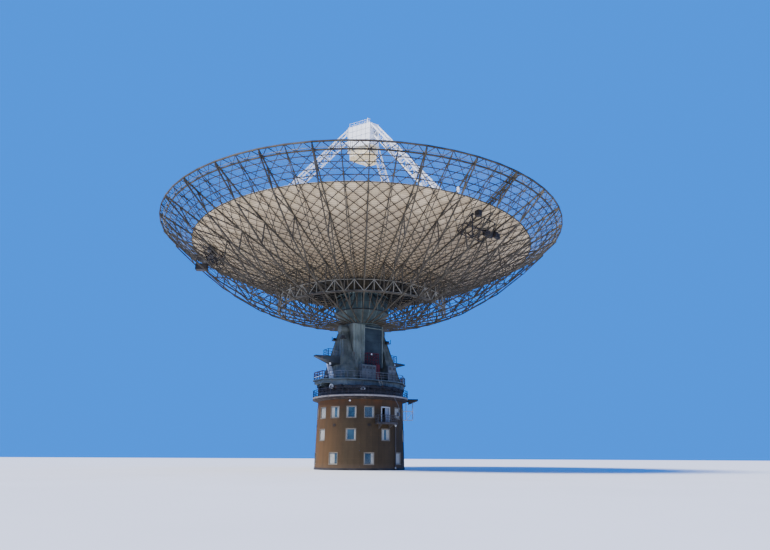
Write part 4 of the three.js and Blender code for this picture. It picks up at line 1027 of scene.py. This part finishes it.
def roof_rail():
    # Rail along the roof's edge on the side away from the front leg, and the stays of the mast
    mesh = Mesh()
    corners = cabin_corners(0.94)
    route = [corners[0], corners[5], corners[4], corners[3]]
    for here, there in along(route):
        mesh.rails(here, there, (CABIN_TOP + 0.4, CABIN_TOP + 0.8), ROOF_RAIL)
        for foot in spaced(here, there, 4 if (there - here).length > LONG_WALL else 2):
            mesh.post(foot, CABIN_TOP - 0.02, CABIN_TOP + 0.8, ROOF_RAIL)
    mesh.post(route[-1], CABIN_TOP, CABIN_TOP + 0.8, ROOF_RAIL)
    mast = at(0.6, 0.2, 0)
    for azimuth in (60, 180, 300):
        mesh.bar(mast + UP * 60.1, on_azimuth(0.75, azimuth, CABIN_TOP + 0.02) + mast, 0.075)
    vent = at(-0.7, 0.4, CABIN_TOP)
    mesh.drum(vent + UP * 0.35, UP, 0.32, 0.7, 12, 0.26)
    mesh.drum(vent + UP * 0.8, UP, 0.26, 0.22, 12, 0.1)
    mesh.build("roof_rail", "dish", "white_paint")


def feed_horns():
    mesh = Mesh()
    for turn in range(4):
        place = on_azimuth(0.62 if turn else 0.0, 120 * turn, FEED_BOTTOM - 0.07)
        mesh.drum(place, UP, 0.34, 0.2, 16, 0.22)
    for azimuth in azimuths(8):
        spoke = on_azimuth(1.15, azimuth, FEED_BOTTOM + 0.02)
        mesh.bar(spoke, on_azimuth(1.83, azimuth, LOWER_FLOOR - 0.02), 0.07)
    mesh.ring(1.16, FEED_BOTTOM + 0.02, 24, 0.06)
    mesh.build("feed_horns", "dish", "white_paint")


# Turret fittings
DECK_TOP = 12.65
SIDE_INNER = 2.95
SIDE_BASE_OUTER = 4.8
SIDE_TOP_OUTER = 3.8
SIDE_BASE_HALF = 3.75
SIDE_TOP_HALF = 0.7
SIDE_TOP = 20.2
AXLE_HEIGHT = 20.6
DECK_CORNERS = ((7.5, 1.4), (4.9, 4.3), (1.9, 4.9))
GIRDER_CORNERS = ((7.0, 1.2), (6.1, 2.14), (4.7, 3.6), (1.8, 4.2))
GIRDER_LOW = 11.7
GIRDER_TOP = 12.45


def side_at(height):
    # Outer reach and half depth of a side frame at a height
    share = (height - DECK_TOP) / (SIDE_TOP - DECK_TOP)
    outer = SIDE_BASE_OUTER + (SIDE_TOP_OUTER - SIDE_BASE_OUTER) * share
    half = SIDE_BASE_HALF + (SIDE_TOP_HALF - SIDE_BASE_HALF) * share
    return outer, half


def outer_point(side, share, height):
    outer, half = side_at(height)
    return at(side * (outer + 0.03), share * half, height)


def end_point(side, end, share, height):
    outer, half = side_at(height)
    return at(side * (SIDE_INNER + (outer - SIDE_INNER) * share), end * (half + 0.03), height)


SHELF_HEIGHT = 19.1
BEARING_BOLTS = 12
BOLT_CIRCLE = 0.56


def frame_shelf(mesh, side, end):
    # A small shelf on a side frame, with its box and post
    outer, half = side_at(SHELF_HEIGHT)
    shelf = sorted((side * (outer - 0.3), side * (outer + 0.55)))
    across = sorted((end * (half - 0.25), end * (half + 0.45)))
    mesh.box((shelf[0], across[0], 18.95), (shelf[1], across[1], 19.05))
    mesh.box((shelf[0] + 0.1, across[0] + 0.1, 19.05), (shelf[1] - 0.25, across[1] - 0.2, 19.4))
    mesh.post(at(side * (outer + 0.5), end * (half + 0.4), 19.05), 0, 0.6, 0.06)


def frame_stiffeners():
    mesh = Mesh()
    dark = Mesh()
    low, high = DECK_TOP + 0.05, SIDE_TOP - 0.1
    for side in (-1, 1):
        for share in (-0.98, -0.55, 0.0, 0.55, 0.98):
            mesh.bar(outer_point(side, share, low), outer_point(side, share, high), 0.1)
        for height in (13.4, 14.9, 17.4, 18.8):
            mesh.bar(outer_point(side, -1, height), outer_point(side, 1, height), 0.09)
        for end in (-1, 1):
            for share in (0.02, 0.98):
                mesh.bar(end_point(side, end, share, low), end_point(side, end, share, high), 0.12)
            mesh.bar(end_point(side, end, 0.5, low), end_point(side, end, 0.5, 18.0), 0.07)
            for height in (14.2, 16.0, 17.8):
                mesh.bar(end_point(side, end, 0, height), end_point(side, end, 1, height), 0.09)
            frame_shelf(dark, side, end)
        mesh.drum(at(side * 3.9, 0, AXLE_HEIGHT), ACROSS, 0.68, 0.2, 24)
        for bolt in range(BEARING_BOLTS):
            angle = math.radians(360 / BEARING_BOLTS * bolt)
            place = at(side * 4.01, BOLT_CIRCLE * math.cos(angle),
                            AXLE_HEIGHT + BOLT_CIRCLE * math.sin(angle))
            dark.drum(place, ACROSS, 0.05, 0.06, 6)
    mesh.build("frame_stiffeners", "turret", "turret_paint")
    dark.build("frame_shelves", "turret", "dark_steel")
    # White chutes that stand on the deck beside the frames
    pale = Mesh()
    for side, end in ((-1, 1), (1, -1)):
        foot = at(side * 5.05, end * 0.1, 0)
        pale.bar(at(side * 4.62, end * 2.0, 15.7), at(side * 5.02, end * 0.1, 13.1), 0.75, 0.3)
        pale.post(foot, 13.1, DECK_TOP, 0.5)
        pale.post(at(side * 5.87, end * -1.14, 0), DECK_TOP, 13.9, 0.16)
    pale.build("cable_chutes", "turret", "pale_paint", MATERIALS["white_paint"])


def frame_gussets():
    # Sloping web plates that widen the foot of each side frame towards the column, with their edge bars
    mesh = Mesh()
    low, high = DECK_TOP + 0.02, 16.9
    at_frame, at_column = SIDE_INNER + 0.15, 1.7
    profile = [(at_frame, low), (at_column, low), (SIDE_INNER - 0.25, high), (at_frame, high)]
    for side, end in ((-1, -1), (1, 1)):
        points = []
        for u, height in profile:
            half = side_at(height)[1]
            for depth in (half - 0.75, half - 0.55):
                points.append(at(side * u, end * max(depth, 2.3), height))
        mesh.add(points, [(0, 2, 4, 6), (7, 5, 3, 1), (0, 1, 3, 2), (2, 3, 5, 4), (4, 5, 7, 6), (6, 7, 1, 0)])
        mesh.bar(points[3], points[5], 0.12)
        mesh.bar((points[1] + points[3]) / 2, (points[5] + points[7]) / 2, 0.08)
    mesh.build("frame_gussets", "turret", "turret_paint")


def machine_housing():
    # Dark housing on the deck between the side frames, below the counterweight's swing
    mesh = Mesh()
    half, depth, top = 2.6, 1.5, 14.1
    mesh.box((-half, -depth, DECK_TOP + 0.02), (half, depth, top))
    for side in (-1, 1):
        for post in range(7):
            x = -half + 2 * half * post / 6
            mesh.post(at(x, side * (depth + 0.02), 0), DECK_TOP + 0.05, top, 0.08)
        edge = side * (depth + 0.03)
        mesh.bar(at(-half, edge, top), at(half, edge, top), 0.1)
    mesh.build("machine_housing", "turret", "dark_steel")


def polygon(corners):
    # The whole outline of a deck from the corners of its front right quarter
    front = list(corners) + [(-u, v) for u, v in reversed(corners)]
    outline = front + [(u, -v) for u, v in reversed(front)]
    return [at(u, -v, 0) for u, v in outline]


def deck_details():
    rails = Mesh()
    edge = Mesh()
    for corner, following in around(polygon(DECK_CORNERS)):
        here, there = corner * 0.9825, following * 0.9825
        rails.rails(here, there, [DECK_TOP + height for height in MID_RAILS], 0.05)
        for foot in at_pitch(here, there, 0.95):
            rails.post(foot, DECK_TOP, DECK_TOP + RAIL_HEIGHT, 0.055)
        edge.rail(corner, following, 12.56, 0.1, 0.17)
    rails.build("deck_rails", "turret", "rail_paint")
    for corner, following in around(polygon(GIRDER_CORNERS)):
        middle = (corner + following) / 2
        # The two end girders are shallower
        low = GIRDER_LOW + (0.375 if abs(middle.x) > 6.4 else 0)
        edge.rail(corner, following, low, 0.66, 0.07)
        edge.rail(corner, following, GIRDER_TOP, 0.6, 0.05)
        outward = at(following.y - corner.y, corner.x - following.x, 0).normalized()
        if outward.dot(middle) < 0:
            outward.negate()
        for foot in at_pitch(corner, following, 1.1, 0.5):
            edge.post(foot + outward * 0.27, low, GIRDER_TOP, 0.05)
    edge.build("girder_flanges", "turret", "girder_paint")


CAGE_INNER = 6.55
CAGE_OUTER = 7.34
CAGE_HALF = 1.25
CAGE_TOP = 1.15


def end_cage():
    # Small cages of red and white rails at the two ends of the deck
    red = Mesh()
    white = Mesh()
    corners = [(CAGE_INNER, -CAGE_HALF), (CAGE_OUTER, -CAGE_HALF), (CAGE_OUTER, CAGE_HALF),
               (CAGE_INNER, CAGE_HALF)]
    posts = corners + [(6.95, -CAGE_HALF), (CAGE_OUTER, -0.4), (CAGE_OUTER, 0.4), (6.95, CAGE_HALF)]
    for side in (-1, 1):
        path = [at(side * x, y, 0) for x, y in corners]
        for height, mesh in ((0.4, white), (0.75, red), (CAGE_TOP, red)):
            for here, there in along(path):
                mesh.rail(here, there, DECK_TOP + height, 0.09)
        for x, y in posts:
            red.post(at(side * x, y, 0), DECK_TOP, DECK_TOP + CAGE_TOP, 0.08)
    red.build("end_cage_rails", "turret", "stair_paint")
    white.build("end_cage_bands", "turret", "white_paint")


WING_TOP = 16.2
WING_ROOT = 4.34
WING_TIP = 8.1
WING_ROOT_HALF = 1.3
WING_TIP_HALF = 0.35
WING_POSTS = ((4.6, 1.1), (6.2, 0.75), (6.2, -0.75), (4.6, -1.1))


def wing_rails():
    mesh = Mesh()
    for side in (-1, 1):
        path = [at(side * u, v, WING_TOP) for u, v in WING_POSTS]
        for here, there in along(path):
            mesh.rails(here, there, (0.35, 0.7), 0.05)
            mesh.post((here + there) / 2, 0, RAIL_HEIGHT, 0.05)
        for share in (0.25, 0.5, 0.75):
            half = WING_ROOT_HALF + (WING_TIP_HALF - WING_ROOT_HALF) * share
            reach = side * (WING_ROOT + (WING_TIP - WING_ROOT) * share)
            mesh.bar(at(reach, -half, WING_TOP + 0.01), at(reach, half, WING_TOP + 0.01), 0.05)
    mesh.build("wing_rails", "turret", "rail_paint")
    lamp = Mesh()
    for side in (-1, 1):
        lamp.drum(at(side * 5.75, -0.55, 15.05), UP, 0.14, 0.3, 10)
    lamp.drum(at(-0.18, -3.3, 16.62), UP, 0.13, 0.2, 12, 0.08)
    lamp.build("turret_lamps", "turret", "white_paint", LAMP)


DRIVE_RADIUS = 5.75
DRIVE_AZIMUTHS = (-86, -48, -34, -13, 4, 22, 40, 88, 104, 138, 160, 180, 201, 222, 258)
BRAKE_DISCS = ((-70, 6.75, 11.5), (-28, 6.3, 11.05), (110, 6.75, 11.5), (152, 6.3, 11.05))


def azimuth_drives():
    # Gearboxes, motors and cable tray between the deck and the gallery, dark with pale brake discs
    dark = Mesh()
    pale = Mesh()
    for azimuth in DRIVE_AZIMUTHS:
        dark.radial_box(DRIVE_RADIUS - 0.4, DRIVE_RADIUS + 0.55, 0.42, 11.1, 11.65, azimuth)
        motor = on_azimuth(DRIVE_RADIUS + 0.3, azimuth, 11.0) + on_azimuth(0.7, azimuth + 90, 0.18)
        dark.drum(motor, sideways(1, azimuth), 0.2, 0.6, 12)
    dark.ring(6.35, 11.5, 48, 0.12)
    dark.ring(6.5, 11.2, 48, 0.08)
    for azimuth, reach, level in BRAKE_DISCS:
        disc = on_azimuth(reach, azimuth, level)
        axis = on_azimuth(1, azimuth, 0)
        pale.drum(disc, axis, 0.34, 0.22, 20)
        dark.drum(disc + axis * 0.13, axis, 0.13, 0.12, 10)
        dark.drum(disc - axis * 0.3, axis, 0.2, 0.5, 12)
    dark.build("azimuth_drives", "turret", "dark_steel")
    pale.build("brake_discs", "turret", "pale_paint")


STAIR_FACE = -4.03
STAIR_FLOOR = DECK_TOP + 2.32
LADDER_HALF = 0.25
LADDER_RUNGS = 8


def stair_details():
    # Door stiles and rails on the enclosure, and the mid rails of its landing
    red = Mesh()
    for u in (0.17, 0.5, 0.83):
        red.post(at(u, STAIR_FACE, 0), DECK_TOP + 0.05, DECK_TOP + 2.35, 0.06)
    for height in (0.15, 1.1, 2.3):
        red.rail(at(0.15, STAIR_FACE, 0), at(0.85, STAIR_FACE, 0), DECK_TOP + height, 0.06)
    landing = ((-0.85, -3.15), (1.2, -3.15), (1.2, -2.5), (-0.85, -2.5))
    corners = [at(u, v, STAIR_FLOOR) for u, v in landing]
    for corner, following in around(corners):
        red.rails(corner, following, (0.45, 0.9, 1.35), 0.05)
        for foot in at_pitch(corner, following, 0.5)[1:]:
            red.post(foot, 0, 1.85, 0.045)
    red.build("stair_rails", "turret", "stair_paint")
    # Ladder from the deck down to the gallery
    pale = Mesh()
    top = at(0.28, -5.02, 12.5)
    foot = at(0.34, -6.15, 10.42)
    for shift in (-LADDER_HALF, LADDER_HALF):
        side = ACROSS * shift
        pale.bar(top + side, foot + side, 0.07)
        pale.bar(top + side + UP * 0.15, top + side + at(0, 0.25, 0.95), 0.05)
    for middle in spaced(top, foot, LADDER_RUNGS, 0.5):
        pale.bar(middle - ACROSS * LADDER_HALF, middle + ACROSS * LADDER_HALF, 0.05)
    pale.build("gallery_ladder", "turret", "pale_paint", PALE_STEEL)


# Left edge, right edge, front, height and doors of the two cabinets
CABINETS = ((-2.3, 0.1, 4.1, 2.2, 4), (2.2, 3.6, 4.35, 2.3, 2))
LOUVRES = 5


def cabinet_details():
    # Door edges, handles and louvres on the two cabinets at the front of the deck
    trim = Mesh()
    dark = Mesh()
    for left, right, front, height, doors in CABINETS:
        face = -front - 0.02
        door_width = (right - left) / doors
        for door in range(doors + 1):
            u = left + (right - left) * door / doors
            trim.post(at(u, face, 0), DECK_TOP + 0.05, DECK_TOP + height, 0.05)
        for level in (0.08, height - 0.05):
            trim.rail(at(left, face, 0), at(right, face, 0), DECK_TOP + level, 0.06)
        for door in range(doors):
            middle = left + (right - left) * (door + 0.5) / doors
            for louvre in range(LOUVRES):
                level = DECK_TOP + height - 0.6 + 0.08 * louvre
                dark.box((middle - 0.18, face - 0.02, level), (middle + 0.18, face + 0.02, level + 0.04))
            handle = middle + 0.32 * door_width
            dark.box((handle - 0.02, face - 0.06, DECK_TOP + 1.0), (handle + 0.02, face, DECK_TOP + 1.2))
    trim.build("cabinet_trim", "turret", "cabinet_paint")
    dark.build("cabinet_louvres", "turret", "dark_steel")


# Tower fittings: balcony rails, landing frame, conduit, rainwater pipe's ends and vents
BALCONY_FIRST = -11.8
BALCONY_LAST = 11.5
BALCONY_RADIUS = 7.73
BALCONY_ROOT = 6.6
LANDING_AZIMUTH = 56.25
LANDING_INNER = 6.95
LANDING_OUTER = 7.95
LANDING_HALF = 0.6
PIPE_RADIUS = 6.81
PIPE_AZIMUTH = 17.2
VENT_AZIMUTHS = (70, 115, 205, 250, 295, 340)
VENT_SLATS = 5


def balcony_rails():
    mesh = Mesh()
    arc = [on_azimuth(BALCONY_RADIUS, BALCONY_FIRST + (BALCONY_LAST - BALCONY_FIRST) * step / 3, SECOND_FLOOR)
           for step in range(4)]
    ends = [on_azimuth(BALCONY_ROOT, azimuth, SECOND_FLOOR) for azimuth in (BALCONY_FIRST, BALCONY_LAST)]
    for here, there in along([ends[0], *arc, ends[1]]):
        mesh.rails(here, there, (0.35, 0.7), 0.045)
        for foot in at_pitch(here, there, 0.3):
            mesh.post(foot, 0, RAIL_HEIGHT, 0.035)
        mesh.rail(here, there, 0.06, 0.03, 0.12)
    mesh.build("balcony_rails", "tower", "rail_paint", BALCONY_STEEL)


def landing_frame():
    # Pale frame of bars that hangs under the outrigger landing
    pale = Mesh()

    def place(radius, side, height):
        return on_azimuth(radius, LANDING_AZIMUTH, height) + sideways(side * LANDING_HALF, LANDING_AZIMUTH)

    for radius in (LANDING_INNER, LANDING_OUTER):
        for side in (-1, 1):
            pale.bar(place(radius, side, 7.25), place(radius, side, 9.85), 0.06)
        for height in (7.3, 7.95, 8.6, 9.2):
            pale.bar(place(radius, -1, height), place(radius, 1, height), 0.06)
    for side in (-1, 1):
        for height in (7.1, 8.4):
            pale.bar(place(6.4, side, height), place(LANDING_OUTER, side, height), 0.06)
        pale.bar(place(LANDING_INNER, side, 7.1), place(LANDING_OUTER, side, 8.4), 0.05)
    pale.build("landing_frame", "tower", "pale_paint")


def wall_services():
    # Conduit from the gallery down to its junction box, the rainwater pipe's shoe and hopper, and vents
    conduit = Mesh()
    conduit.rod([on_azimuth(7.36, 10.2, 9.95), on_azimuth(7.1, 20.0, 8.9), on_azimuth(6.75, 27.0, 8.2),
                 on_azimuth(6.6, 27.5, 7.9)], 0.055)
    conduit.radial_box(6.4, 6.75, 0.14, 7.5, 7.95, 27.5)
    conduit.build("wall_cable", "tower", "rail_paint")
    pale = Mesh()
    pale.drum(on_azimuth(PIPE_RADIUS, PIPE_AZIMUTH, 0.32), UP, 0.12, 0.2, 12, 0.1)
    pale.drum(on_azimuth(PIPE_RADIUS, PIPE_AZIMUTH, 6.05), UP, 0.1, 0.24, 12, 0.18)
    pale.build("wall_conduit", "tower", "pale_paint")
    dark = Mesh()
    face = wall_radius(6.0)
    for azimuth in VENT_AZIMUTHS:
        for slat in range(VENT_SLATS):
            dark.radial_box(face - 0.05, face + 0.04, 0.22, 5.9 + 0.07 * slat, 5.94 + 0.07 * slat, azimuth)
    dark.build("wall_vents", "tower", "dark_steel")


spiral_purlins("spiral_purlins_right", 1)
spiral_purlins("spiral_purlins_left", -1)
for make_piece in (mesh_border, mesh_purlins, rim_truss, secondary_ribs, hub_rings, leg_lattice,
                   window_frames, door_frames, tower_trim, gallery_rails, hub_bands, column_faces,
                   dish_walkway, leg_foot_frames, equipment_box, cabin_trim, roof_rail, feed_horns,
                   frame_stiffeners, frame_gussets, machine_housing, deck_details, end_cage, wing_rails,
                   azimuth_drives, stair_details, cabinet_details, balcony_rails, landing_frame,
                   wall_services):
    make_piece()

# Studio floor and light
FLOOR_RADIUS = 900.0
FLOOR_SIDES = 180
SKY_COLOUR = (0.012, 0.27, 1.15, 1)
SKY_STRENGTH = 1.15
BOUNCE_SIZE = 70.0


def add_light(name, kind, energy, colour):
    data = bpy.data.lights.new(name, kind)
    data.energy = energy
    data.color = colour
    return add_object(name, data)


def add_sun(name, energy, colour, spread, toward):
    light = add_light(name, "SUN", energy, colour)
    light.data.angle = math.radians(spread)
    light.rotation_mode = "QUATERNION"
    light.rotation_quaternion = Vector(toward).to_track_quat("Z", "Y")


def studio():
    data = bpy.data.meshes.new("studio_floor")
    corners = [on_azimuth(FLOOR_RADIUS, -360 * side / FLOOR_SIDES, 0) for side in range(FLOOR_SIDES)]
    data.from_pydata(corners, [], [tuple(reversed(range(FLOOR_SIDES)))])
    data.materials.append(pale_floor())
    floor = add_object("studio_floor", data)
    world = bpy.data.worlds.new("studio_world")
    world.use_nodes = True
    background = world.node_tree.nodes["Background"]
    background.inputs["Color"].default_value = SKY_COLOUR
    background.inputs["Strength"].default_value = SKY_STRENGTH
    bpy.context.scene.world = world
    add_sun("key_light", 8.2, (1.0, 0.96, 0.9), 12, (-0.72, 0.12, 0.85))
    add_sun("fill_light", 0.25, (1.0, 0.84, 0.62), 40, (-0.45, -0.88, 0.12))
    # Light that the pale floor would throw up under the dish
    bounce = add_light("floor_bounce", "AREA", 8300.0, (1.0, 0.93, 0.82))
    bounce.data.shape = "DISK"
    bounce.data.size = BOUNCE_SIZE
    bounce.location = (0, 0, 0.05)
    bounce.rotation_euler = (math.pi, 0, 0)
    bounce.visible_camera = False
    bounce.visible_glossy = False


studio()
